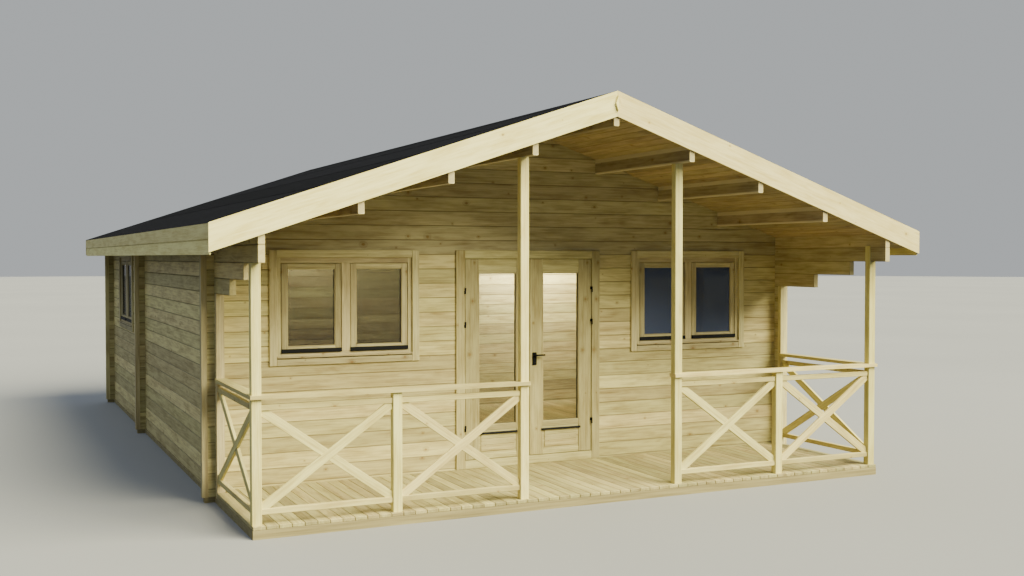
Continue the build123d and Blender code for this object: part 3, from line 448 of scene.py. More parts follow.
def make_felt():
    """Bitumen felt with a face of crushed slate: dark, matt and grainy, with faint runs down the slope."""
    sizes = bpy.context.scene.cabin_sizes
    slate = list(bpy.context.scene.cabin_colours.felt)
    tree, shader, place = new_material("bitumen_roofing_felt")
    # Slate granules are 1 mm across, drawn as clusters of 5 mm that the picture can show
    granule = add(tree, "TexVoronoi", {"Vector": place, "Scale": 200.0})
    cloud = add(tree, "TexNoise", {"Vector": place, "Scale": 1.6, "Detail": 5.0, "Roughness": 0.6})
    runs = add(tree, "VectorMath", {0: place, 1: (0.6, 14.0, 0.6)}, operation="MULTIPLY")
    runs = add(tree, "TexNoise", {"Vector": runs, "Scale": 1.0, "Detail": 3.0})
    fleck = add(tree, "MapRange", {0: granule.outputs["Color"], 1: 0.2, 2: 0.9})
    base = add(tree, "Mix", {0: fleck, 6: slate, 7: paint("#111117")}, data_type="RGBA")
    worn = add(tree, "Math", {0: runs, 1: 0.6, 2: cloud}, operation="MULTIPLY_ADD")
    worn = add(tree, "MapRange", {0: worn, 1: 0.6, 2: 1.1, 3: 0.0, 4: 0.55})
    base = add(tree, "Mix", {0: worn, 6: base, 7: paint("#050507")}, data_type="RGBA")
    # Each strip from the roll differs a little in tone
    strip = (sizes.felt_width - sizes.felt_lap) * math.cos(ROOF_PITCH)
    order = add(tree, "Math", {0: add(tree, "SeparateXYZ", {0: place})}, operation="ABSOLUTE")
    order = add(tree, "Math", {0: order, 1: -1.0, 2: EAVE}, operation="MULTIPLY_ADD")
    order = add(tree, "Math", {0: order, 1: strip}, operation="DIVIDE")
    order = add(tree, "Math", {0: order}, operation="FLOOR")
    tone = add(tree, "TexWhiteNoise", {"W": order}, noise_dimensions="1D")
    tone = add(tree, "MapRange", {0: tone, 3: 0.8, 4: 1.5})
    bump = add(tree, "Bump", {"Height": granule, "Strength": 0.6, "Distance": 0.0015})
    fill(tree, shader, {
        "Base Color": add(tree, "HueSaturation", {"Color": base, "Value": tone}),
        "Roughness": 0.95, "Specular IOR Level": 0.04,
        "Normal": add(tree, "Bump", {"Height": cloud, "Strength": 0.4, "Distance": 0.012, "Normal": bump})})


def make_metal(name, colour, roughness, metallic):
    """Powder coated or plated metal: a fine orange peel and a soft sheen."""
    tree, shader, place = new_material(name)
    # Powder coat ripples are 1 to 2 mm across
    ripple = add(tree, "TexNoise", {"Vector": place, "Scale": 700.0, "Detail": 2.0})
    smear = add(tree, "TexNoise", {"Vector": place, "Scale": 40.0, "Detail": 3.0})
    share = add(tree, "MapRange", {0: smear, 1: 0.35, 2: 0.75, 3: 0.0, 4: 0.4})
    fill(tree, shader, {
        "Base Color": add(tree, "Mix", {0: share, 6: colour, 7: paint("#141416")}, data_type="RGBA"),
        "Roughness": add(tree, "MapRange", {
            0: smear, 1: 0.3, 2: 0.7, 3: roughness - 0.08, 4: roughness + 0.1}),
        "Metallic": metallic, "Specular IOR Level": 0.12,
        "Normal": add(tree, "Bump", {"Height": ripple, "Strength": 0.2, "Distance": 0.0003})})


def make_glass(name, colour, alpha, mirror):
    """Float glass in a sealed unit: smooth, with a tint that shows where the room behind is dark."""
    tree, shader, place = new_material(name)
    # Float glass wavers over 0.3 m, which bends only its reflections
    waver = add(tree, "TexNoise", {"Vector": place, "Scale": 3.5, "Detail": 1.0})
    dust = add(tree, "TexNoise", {"Vector": place, "Scale": 18.0, "Detail": 4.0})
    share = add(tree, "MapRange", {0: dust, 1: 0.4, 2: 0.8, 3: 0.0, 4: 0.15})
    fill(tree, shader, {
        "Base Color": add(tree, "Mix", {0: share, 6: colour, 7: paint("#2a3040")}, data_type="RGBA"),
        "Roughness": 0.03, "IOR": 1.52, "Specular IOR Level": mirror, "Alpha": alpha,
        "Normal": add(tree, "Bump", {"Height": waver, "Strength": 0.15, "Distance": 0.002})})


def cover(material, *names):
    """Gives CAD nodes one of the finishes."""
    for name in names:
        slots = nodes[name].data.materials
        slots.clear()
        slots.append(bpy.data.materials[material])


def finished(work, name, body, slot, material, *replaced):
    """Turns a bmesh into a piece that rides on a body and may stand for CAD nodes."""
    mesh = bpy.data.meshes.new(name)
    work.to_mesh(mesh)
    work.free()
    mesh.materials.append(bpy.data.materials[material])
    piece = bpy.data.objects.new(name, mesh)
    bpy.context.scene.collection.objects.link(piece)
    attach(piece, body)
    if replaced:
        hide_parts(*replaced)
    return piece


def join(work, part):
    """Adds one bmesh to another and frees it."""
    shape = bpy.data.meshes.new("part")
    part.to_mesh(shape)
    part.free()
    work.from_mesh(shape)
    bpy.data.meshes.remove(shape)


class Timber:
    """Collects eased boards, each with its own run of grain, in one bmesh."""

    def __init__(self):
        self.work = bmesh.new()
        self.count = 0

    def stick(self, size, place, ease, cuts=()):
        """A board by its length, width and thickness, put in place by a matrix and trimmed by planes."""
        board = bmesh.new()
        grain = board.verts.layers.float_vector.new("grain")
        bmesh.ops.create_cube(board, size=1.0)
        bmesh.ops.scale(board, vec=size, verts=board.verts)
        if ease:
            bmesh.ops.bevel(board, geom=board.edges[:], offset=ease, offset_type="OFFSET", segments=1,
                            profile=0.5, affect="EDGES", material=-1)
        for vertex in board.verts:
            vertex[grain] = (vertex.co.x + SEED_STEP * (self.count % SEEDS), vertex.co.y, vertex.co.z)
        bmesh.ops.transform(board, matrix=place, verts=board.verts)
        for point, normal in cuts:
            kept = bmesh.ops.bisect_plane(board, geom=board.verts[:] + board.edges[:] + board.faces[:],
                                          plane_co=point, plane_no=normal, clear_outer=True)
            rim = [part for part in kept["geom_cut"] if isinstance(part, bmesh.types.BMEdge)]
            if rim:
                bmesh.ops.contextual_create(board, geom=rim)
        join(self.work, board)
        self.count += 1

    def board(self, low, high, along, ease, place=Matrix.Identity(4)):
        """A board between two corners, with its grain along one axis and its face across the next widest."""
        size = [top - bottom for bottom, top in zip(low, high)]
        main = "XYZ".index(along)
        order = sorted(range(3), key=lambda axis: (axis != main, -size[axis]))
        turn = Matrix([[float(row == axis) for axis in order] for row in range(3)])
        if turn.determinant() < 0:
            turn.col[2] = -turn.col[2]
        middle = Matrix.Translation([(bottom + top) / 2 for bottom, top in zip(low, high)])
        self.stick([size[axis] for axis in order], place @ middle @ turn.to_4x4(), ease)


def ring(timber, face, centre, size, widths, depth, ease, set_in=(0.0, 0.0), gap=0.0):
    """Four boards round an opening: upright ones right through, and level ones set in between them."""
    x, y = centre
    half_w, half_h = size[0] / 2, size[1] / 2
    upright, level = widths
    back, front = depth
    inner = half_w - upright - gap
    for side in (-1, 1):
        edge = sorted((x + side * half_w, x + side * (half_w - upright)))
        timber.board((edge[0], y - half_h, back), (edge[1], y + half_h, front), "Y", ease, face)
        edge = sorted((y + side * half_h, y + side * (half_h - level)))
        low, high = (x - inner, edge[0], back + set_in[0]), (x + inner, edge[1], front - set_in[1])
        timber.board(low, high, "X", ease, face)


def add_slab(work, face, centre, size, ease):
    """A slab with eased edges in a plane's own axes."""
    slab = bmesh.new()
    bmesh.ops.create_cube(slab, size=1.0)
    bmesh.ops.scale(slab, vec=size, verts=slab.verts)
    bmesh.ops.bevel(slab, geom=slab.edges[:], offset=ease, offset_type="OFFSET", segments=2,
                    profile=0.5, affect="EDGES", material=-1)
    bmesh.ops.transform(slab, matrix=face @ Matrix.Translation(centre), verts=slab.verts)
    join(work, slab)


def glaze(panes, spacers, face, centre, clear, front, bar):
    """A sealed unit: two panes that go into the wood all round, and the dark bar between their edges."""
    size = (clear[0] + 2 * GLASS_BITE, clear[1] + 2 * GLASS_BITE)
    back = front - PANE_APART
    for depth in (front, back):
        add_slab(panes, face, (*centre, depth), (*size, PANE), PANE_EASE)
    ring(spacers, face, centre, size, (bar, bar), (back + PANE / 2, front - PANE / 2), 0.0)


def add_drip_bar(work, face, centre, length, height):
    """A folded bar that throws rain clear of a sash or leaf: a flat back and a sloping lip."""
    x, y = centre
    half, top, nose, lip = height / 2, 0.0095, 0.0135, 0.008
    profile = [(0.0, half), (top, half), (nose, lip - half), (nose, -half), (0.0, -half)]
    start = [work.verts.new(face @ Vector((x - length / 2, y + up, out))) for out, up in profile]
    ends = bmesh.ops.extrude_face_region(work, geom=[work.faces.new(start)])
    moved = [part for part in ends["geom"] if isinstance(part, bmesh.types.BMVert)]
    bmesh.ops.translate(work, vec=face.to_3x3() @ Vector((length, 0, 0)), verts=moved)
    bmesh.ops.recalc_face_normals(work, faces=work.faces)


def add_screws(work, places):
    """Flat screw heads with a hollow drive, set just proud of a floor."""
    size, proud = bpy.context.scene.cabin_sizes.screw_head, 0.0003
    edge, hollow, deep = size * 0.26, size * 0.14, size * 0.2
    head = bmesh.new()
    bmesh.ops.create_circle(head, cap_ends=True, radius=size / 2, segments=10)
    bmesh.ops.inset_region(head, faces=head.faces[:], thickness=edge, depth=0.0)
    inner = min(head.faces, key=lambda face: (face.calc_center_median().length, -len(face.verts)))
    bmesh.ops.translate(head, vec=(0, 0, -hollow), verts=inner.verts)
    skirt = bmesh.ops.extrude_edge_only(head, edges=[side for side in head.edges if side.is_boundary])
    rim = [part for part in skirt["geom"] if isinstance(part, bmesh.types.BMVert)]
    bmesh.ops.translate(head, vec=(0, 0, -deep), verts=rim)
    bmesh.ops.recalc_face_normals(head, faces=head.faces)
    if inner.normal.z < 0:
        bmesh.ops.reverse_faces(head, faces=head.faces)
    shape = bpy.data.meshes.new("screw")
    head.to_mesh(shape)
    head.free()
    for x, y, z in places:
        known = len(work.verts)
        work.from_mesh(shape)
        bmesh.ops.translate(work, vec=(x, y, z + proud), verts=list(work.verts)[known:])
    bpy.data.meshes.remove(shape)


def roof_plane(side, drop):
    """A matrix whose X runs along the roof, whose Y runs down from the ridge and whose Z looks up."""
    down = Vector((side * math.cos(ROOF_PITCH), 0, -math.sin(ROOF_PITCH)))
    outward = Vector((side * math.sin(ROOF_PITCH), 0, math.cos(ROOF_PITCH)))
    turn = Matrix((down.cross(outward), down, outward)).transposed().to_4x4()
    return Matrix.Translation((0, 0, APEX - drop / math.cos(ROOF_PITCH))) @ turn


class CABIN_OT_materials(bpy.types.Operator):
    """Make every finish that the cabin's pieces share"""

    bl_idname = "cabin.materials"
    bl_label = "Finishes"

    def execute(self, context):
        colours = context.scene.cabin_colours
        make_pines()
        make_treated_pine()
        make_felt()
        make_metal("powder_coated_black_steel", list(colours.metal), 0.55, 0.0)
        make_metal("zinc_plated_screw", paint("#8d8a80"), 0.38, 0.9)
        make_metal("anodised_spacer_bar", paint("#24262b"), 0.4, 0.4)
        make_glass("tinted_window_glass", list(colours.window_glass), 0.36, 0.1)
        make_glass("dark_window_glass", paint("#4a5578"), 0.7, 0.3)
        make_glass("clear_door_glass", paint("#4d5a58"), 0.06, 0.3)
        return {"FINISHED"}


class CABIN_OT_base(bpy.types.Operator):
    """Give the bearers and joists their treated pine"""

    bl_idname = "cabin.base"
    bl_label = "Base timbers"

    def execute(self, context):
        cover("treated_sawn_pine", "ground_bearers", "terrace_joists")
        return {"FINISHED"}


class CABIN_OT_logs(bpy.types.Operator):
    """Give the log walls their planed pine, log by log"""

    bl_idname = "cabin.logs"
    bl_label = "Log walls"

    def execute(self, context):
        cover("planed_pine_front_logs",
              "front_wall_left", "front_wall_right", "front_sill_log", "partition_wall")
        cover("planed_pine_gable_logs", "front_gable")
        cover("planed_pine_back_logs", "back_wall")
        cover("planed_pine_side_logs", "left_wall", "left_eave_logs")
        cover("planed_pine_right_logs", "right_wall", "right_eave_logs")
        return {"FINISHED"}


class CABIN_OT_beams(bpy.types.Operator):
    """Give the ridge beam and the purlins their browner pine, darkened as painted shade under the roof"""

    bl_idname = "cabin.beams"
    bl_label = "Roof beams"

    def execute(self, context):
        cover("planed_pine_purlins", "ridge_purlin", "left_purlins", "right_purlins")
        return {"FINISHED"}


class CABIN_OT_trim_boards(bpy.types.Operator):
    """Give the barge boards, fascias, log end covers and the roof deck their pine"""

    bl_idname = "cabin.trim_boards"
    bl_label = "Trim boards"

    def execute(self, context):
        cover("planed_pine_barge_boards", "front_barge_boards", "back_barge_boards")
        cover("planed_pine_fascias", "eave_fascias", "roof_deck")
        cover("planed_pine_end_covers", "log_end_covers")
        return {"FINISHED"}


class CABIN_OT_posts(bpy.types.Operator):
    """Give the terrace posts and the handrails their pale pine"""

    bl_idname = "cabin.posts"
    bl_label = "Posts and handrails"

    def execute(self, context):
        cover("planed_pine_posts", "corner_posts", "entrance_posts", "rail_posts")
        cover("planed_pine_handrails", "left_handrail", "right_handrail")
        return {"FINISHED"}


class CABIN_OT_fittings(bpy.types.Operator):
    """Give the hinges and the lever handle their black coat"""

    bl_idname = "cabin.fittings"
    bl_label = "Hinges and handle"

    def execute(self, context):
        cover("powder_coated_black_steel",
              "frame_hinges", "left_leaf_hinges", "right_leaf_hinges", "door_handle")
        return {"FINISHED"}


class CABIN_OT_terrace_floor(bpy.types.Operator):
    """Lay the terrace boards from the front edge to the wall, with two screws at each joist"""

    bl_idname = "cabin.terrace_floor"
    bl_label = "Terrace boards"

    cover_half, cover_reach = 0.033, 0.0183
    joist_steps, wall_joist, screw_inset = (0.0225, 0.44, 0.86), -3.18, 0.018

    def execute(self, context):
        sizes = context.scene.cabin_sizes
        low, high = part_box("terrace_deck")
        # The outer boards stop short of the covers on the side walls' log ends
        inner_x = SIDE_WALL_X - self.cover_half - FLOOR_GAP
        shoulder = WALL_FACE - LOG_OVERHANG - self.cover_reach - FLOOR_GAP
        joists = [low.y + step for step in self.joist_steps] + [self.wall_joist]
        count = round((high.x - low.x) / sizes.terrace_board)
        pitch = (high.x - low.x) / count
        timber, heads, places = Timber(), bmesh.new(), []
        for index in range(count):
            start = low.x + index * pitch + sizes.terrace_gap / 2
            end = start + pitch - sizes.terrace_gap
            back = high.y if max(abs(start), abs(end)) <= inner_x else shoulder
            timber.board((start, low.y, low.z), (end, back, high.z), "Y", EASE)
            ends = (start + self.screw_inset, end - self.screw_inset)
            places += [(x, y, high.z) for y in joists for x in ends]
        add_screws(heads, places)
        finished(timber.work, "terrace_boards", "cabin", "floor_boards", "planed_pine_terrace_boards",
                 "terrace_deck")
        finished(heads, "terrace_screws", "cabin", "black_metal", "zinc_plated_screw")
        return {"FINISHED"}


class CABIN_OT_room_floor(bpy.types.Operator):
    """Lay the tongued floor boards of both rooms"""

    bl_idname = "cabin.room_floor"
    bl_label = "Room floors"

    ease = 0.0015

    def execute(self, context):
        low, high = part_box("room_floor")
        count = round((high.x - low.x) / context.scene.cabin_sizes.floor_board)
        pitch = (high.x - low.x) / count
        timber = Timber()
        for start, end in ((low.y, PARTITION[0] - FLOOR_GAP), (PARTITION[1] + FLOOR_GAP, high.y)):
            for index in range(count):
                x = low.x + index * pitch
                timber.board((x + FIT, start, low.z), (x + pitch - FIT, end, high.z), "Y", self.ease)
        finished(timber.work, "floor_boards", "cabin", "floor_boards", "planed_pine_boards", "room_floor")
        return {"FINISHED"}


class CABIN_OT_roof_boards(bpy.types.Operator):
    """Lay the grooved roof boards that show under the overhangs and inside"""

    bl_idname = "cabin.roof_boards"
    bl_label = "Roof boards"

    groove, ease, thick, end_joint = 0.003, 0.005, 0.0188, 0.0004
    joints = (-1.9, 0.6, -0.65, 1.85)

    def execute(self, context):
        low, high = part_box("roof_lining")
        middle = (low.y + high.y) / 2
        ridge_gap = LINING * math.tan(ROOF_PITCH)
        reach = high.x / math.cos(ROOF_PITCH) - ridge_gap
        count = round(reach / context.scene.cabin_sizes.soffit_board)
        pitch = reach / count
        timber = Timber()
        for side in (-1, 1):
            place = roof_plane(side, FELT + DECK + BATTEN)
            for index in range(count):
                start = ridge_gap * 0.5 + index * pitch
                end = start + pitch - self.groove
                # A board is 9.3 m long here, so each is two lengths with a joint at a different batten
                joint = self.joints[index % len(self.joints)]
                near, far = joint - self.end_joint, joint + self.end_joint
                for first, last in ((low.y - middle, near), (far, high.y - middle)):
                    run = -side * ((first + last) / 2 + middle)
                    centre = Matrix.Translation((run, (start + end) / 2, -self.thick / 2))
                    timber.stick((last - first, end - start, self.thick), place @ centre, self.ease)
        finished(timber.work, "roof_lining_boards", "cabin", "roof_boards", "honey_toned_roof_boards",
                 "roof_lining")
        return {"FINISHED"}


class CABIN_OT_roof_felt(bpy.types.Operator):
    """Lay lapped strips of felt along the eaves and a folded strip over the ridge"""

    bl_idname = "cabin.roof_felt"
    bl_label = "Roofing felt"

    thick, bed, lift = 0.0018, -0.0046, 0.0022
    ridge_strip, ridge_lift, least_strip = 0.22, -0.002, 0.02
    edge_wide, edge_thick, edge_lift = 0.018, 0.0012, 0.0003
    end_thick, end_high, end_drop, edge_ease = 0.003, 0.0062, 0.0022, 0.0002
    from_ridge, from_eave = 0.006, 0.001

    def sheet(self, work, size, rows, place):
        """A flat sheet of felt, as wide and deep as size, that a matrix lays."""
        corners = bmesh.ops.create_grid(work, x_segments=24, y_segments=rows, size=0.5)["verts"]
        bmesh.ops.scale(work, vec=(*size, 1), verts=corners)
        bmesh.ops.transform(work, matrix=place, verts=corners)

    def execute(self, context):
        sizes = context.scene.cabin_sizes
        low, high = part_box("roof_felt")
        length, middle = high.y - low.y, (high.y + low.y) / 2
        strips, edges = bmesh.new(), bmesh.new()
        for side in (-1, 1):
            place = roof_plane(side, 0.0)
            end = ROOF_SLOPE
            while end > self.least_strip:
                # The upper edge lies on the deck and the lower edge on the strip below
                start = max(end - sizes.felt_width, 0.0)
                lift = self.lift if end < ROOF_SLOPE else 0.0
                centre = Matrix.Translation((-side * middle, (start + end) / 2, self.bed + lift / 2))
                tilt = Matrix.Rotation(math.atan2(lift, end - start), 4, "X")
                self.sheet(strips, (length, end - start), 6, place @ centre @ tilt)
                end -= sizes.felt_width - sizes.felt_lap
            ridge = Matrix.Translation((-side * middle, self.ridge_strip / 2, self.ridge_lift))
            self.sheet(strips, (length, self.ridge_strip), 3, place @ ridge)
            # The felt's ends are turned over the barge boards, and closed down to the deck
            down = (ROOF_SLOPE + self.from_ridge - self.from_eave) / 2
            reach = ROOF_SLOPE - self.from_ridge - self.from_eave
            for y, inward in ((low.y, 1), (high.y, -1)):
                over, turned = y - inward * self.edge_wide / 2, y + inward * self.end_thick / 2
                add_slab(edges, place, (-side * over, down, self.edge_lift),
                         (self.edge_wide, reach, self.edge_thick), self.edge_ease)
                add_slab(edges, place, (-side * turned, down, -self.end_drop),
                         (self.end_thick, reach, self.end_high), self.edge_ease)
        bmesh.ops.recalc_face_normals(strips, faces=strips.faces)
        bmesh.ops.reverse_faces(strips, faces=[face for face in strips.faces if face.normal.z < 0])
        finished(edges, "felt_edges", "cabin", "roofing_felt", "bitumen_roofing_felt")
        piece = finished(strips, "felt_strips", "cabin", "roofing_felt", "bitumen_roofing_felt", "roof_felt")
        wall = piece.modifiers.new("felt", "SOLIDIFY")
        wall.thickness, wall.offset = self.thick, 0.0
        return {"FINISHED"}


class CABIN_OT_railings(bpy.types.Operator):
    """Make the railing panels: two rails and two crossed braces each"""

    bl_idname = "cabin.railings"
    bl_label = "Railing panels"

    bottom, top, rail, thick = 0.172, 0.990, 0.044, 0.040
    brace_wide, brace_thick, step, spare = 0.068, 0.024, 0.006, 0.1
    post_places = ((0.748, 1.848), (1.848, 2.948))

    def panel(self, timber, face, length):
        """A panel on a plane whose X runs along it, Y up and Z outward, from the middle of its foot."""
        half, height = length / 2, self.top - self.bottom
        for low in (0.0, height - self.rail):
            timber.board((-half, low, -self.thick), (half, low + self.rail, 0), "X", EASE, face)
        # The braces end on the panel's corners, cut along the rails and the posts
        low, high = self.rail, height - self.rail
        cuts = [(face @ Vector(point), face.to_3x3() @ Vector(normal)) for point, normal in (
            ((0, high, 0), (0, 1, 0)), ((0, low, 0), (0, -1, 0)),
            ((half, 0, 0), (1, 0, 0)), ((-half, 0, 0), (-1, 0, 0)))]
        size = (math.hypot(length, high - low) + self.spare, self.brace_wide, self.brace_thick)
        for side, depth in ((-1, self.step), (1, 2 * self.step)):
            turn = Matrix.Rotation(-side * math.atan2(high - low, length), 4, "Z")
            centre = Matrix.Translation((0, (low + high) / 2, -depth - self.brace_thick / 2))
            timber.stick(size, face @ centre @ turn, SLIM_EASE, cuts)

    def execute(self, context):
        half_post = POST_WIDTH / 2
        timbers = {}
        for name, side in (("left", -1), ("right", 1)):
            timber = timbers[name + "_front_panels"] = Timber()
            for start, end in sorted(
                    sorted((side * (inner + half_post), side * (outer - half_post)))
                    for inner, outer in self.post_places):
                middle = ((start + end) / 2, POST_FACE + PANEL_RECESS, self.bottom)
                self.panel(timber, Matrix.Translation(middle) @ UPRIGHT, end - start)
        for name, side in (("left", -1), ("right", 1)):
            timber = timbers[name + "_side_panel"] = Timber()
            low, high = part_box(name + "_side_panel")
            outer = side * (SIDE_WALL_X + half_post - PANEL_RECESS)
            turn = Matrix.Rotation(side * math.pi / 2, 4, "Z")
            face = Matrix.Translation((outer, (low.y + high.y) / 2, self.bottom)) @ turn @ UPRIGHT
            self.panel(timber, face, high.y - low.y)
        for node, timber in timbers.items():
            finished(timber.work, node.replace("panel", "railing"), "cabin", "railing_wood",
                     "planed_pine_railings", node)
        return {"FINISHED"}


class CABIN_OT_windows(bpy.types.Operator):
    """Join the four windows from trims, frames, sashes and beads, and glaze them"""

    bl_idname = "cabin.windows"
    bl_label = "Windows"

    place_x, place_y = 1.820, 2.955
    wide, high = 1.302, 0.931
    jamb, frame_rail, mullion = 0.066, 0.075, 0.078
    trim, lap, thick, trim_step = 0.067, 0.039, 0.018, 0.001
    stop, stop_front = 0.010, -0.0486
    stile, rail, sash_back, sash_front, sash_step = 0.052, 0.044, -0.048, -0.004, 0.0008
    lip_down, lip_up, lip_out = 0.002, 0.011, 0.030
    bead, bead_depths = 0.007, ((-0.0135, -0.0075), (-0.0445, -0.0385))
    pane_front, spacer = -0.0155, 0.018
    drip_y, drip_short, drip_high = -0.3785, 0.004, 0.035
    # The painted shadow under each sill lip: a black strip's drop, shortening, height, depth and reach
    seal_drop, seal_short, seal_high, seal_deep, seal_out = 0.005, 0.002, 0.008, 0.009, 0.0155
    light = ((wide - mullion) / 2 - jamb, high - 2 * frame_rail)
    sash = (light[0] - stop, light[1] - stop)
    clear = (sash[0] - 2 * stile, sash[1] - 2 * rail)
    middles = (-(mullion + light[0]) / 2, (mullion + light[0]) / 2)

    def joinery(self, timber, face):
        """Trims, frame and sashes round an opening; the plane's Z looks out of the wall."""
        half_w, half_h = self.wide / 2 + self.lap, self.high / 2 + self.lap
        for depth in ((0.0, self.thick), (-LOG_DEPTH - self.thick, -LOG_DEPTH)):
            ring(timber, face, (0, 0), (2 * half_w, 2 * half_h), (self.trim, self.trim), depth, EASE,
                 set_in=(SEAT, self.trim_step), gap=SEAT)
        ring(timber, face, (0, 0), (self.wide - 2 * FIT, self.high - 2 * FIT),
             (self.jamb, self.frame_rail), (-LOG_DEPTH, 0.0), SLIM_EASE)
        # A sill lip over the lower trim
        lip, lip_half = -half_h + self.trim, half_w - self.trim
        timber.board((-lip_half, lip - self.lip_down, -self.lip_down),
                     (lip_half, lip + self.lip_up, self.lip_out), "X", EASE, face)
        post, post_half = self.mullion / 2, self.high / 2 - self.frame_rail
        timber.board((-post, -post_half, -LOG_DEPTH), (post, post_half, 0.0), "Y", SLIM_EASE, face)
        for middle in self.middles:
            # Stops behind the sash, then the sash and its beads
            ring(timber, face, (middle, 0), self.light, (self.stop, self.stop),
                 (-LOG_DEPTH, self.stop_front), 0.0)
            ring(timber, face, (middle, 0), self.sash, (self.stile, self.rail),
                 (self.sash_back, self.sash_front), EASE, set_in=(SEAT, self.sash_step))
            for depth in self.bead_depths:
                ring(timber, face, (middle, 0), self.clear, (self.bead, self.bead), depth, SLIM_EASE)

    def execute(self, context):
        middle_z = HEAD_HEIGHT - self.high / 2
        faces = {}
        for name, side in (("front_left_window", -1), ("front_right_window", 1)):
            faces[name] = Matrix.Translation((side * self.place_x, WALL_FACE, middle_z)) @ UPRIGHT
        for name, side in (("left_window", -1), ("right_window", 1)):
            turn = Matrix.Rotation(side * math.pi / 2, 4, "Z")
            faces[name] = Matrix.Translation((side * SIDE_FACE, self.place_y, middle_z)) @ turn @ UPRIGHT
        panes, dark_panes, spacers, drips = bmesh.new(), bmesh.new(), Timber(), bmesh.new()
        seal_y = -self.high / 2 - self.lap + self.trim - self.seal_drop
        seal_length = self.wide + 2 * (self.lap - self.trim) - self.seal_short
        seal_size = (seal_length, self.seal_high, self.seal_deep)
        for node, face in faces.items():
            timber = Timber()
            self.joinery(timber, face)
            finished(timber.work, node + "_joinery", "cabin", "joinery_wood", "planed_pine_joinery", node)
            for middle in self.middles:
                glass = dark_panes if node == "front_right_window" else panes
                glaze(glass, spacers, face, (middle, 0), self.clear, self.pane_front, self.spacer)
                length = self.light[0] - self.drip_short
                add_drip_bar(drips, face, (middle, self.drip_y), length, self.drip_high)
            # A black strip just under the sill lip paints the shadow that the lip throws on the lower trim
            add_slab(drips, face, (0, seal_y, self.seal_out), seal_size, BUILT_IN_EASE)
        for work, name, material in (
                (panes, "window_panes", "tinted_window_glass"),
                (dark_panes, "front_right_window_panes", "dark_window_glass")):
            finished(work, name, "cabin", "clear_glass", material, "window_glass")
        finished(spacers.work, "window_spacers", "cabin", "black_metal", "anodised_spacer_bar")
        finished(drips, "window_drip_bars", "cabin", "black_metal", "powder_coated_black_steel")
        return {"FINISHED"}


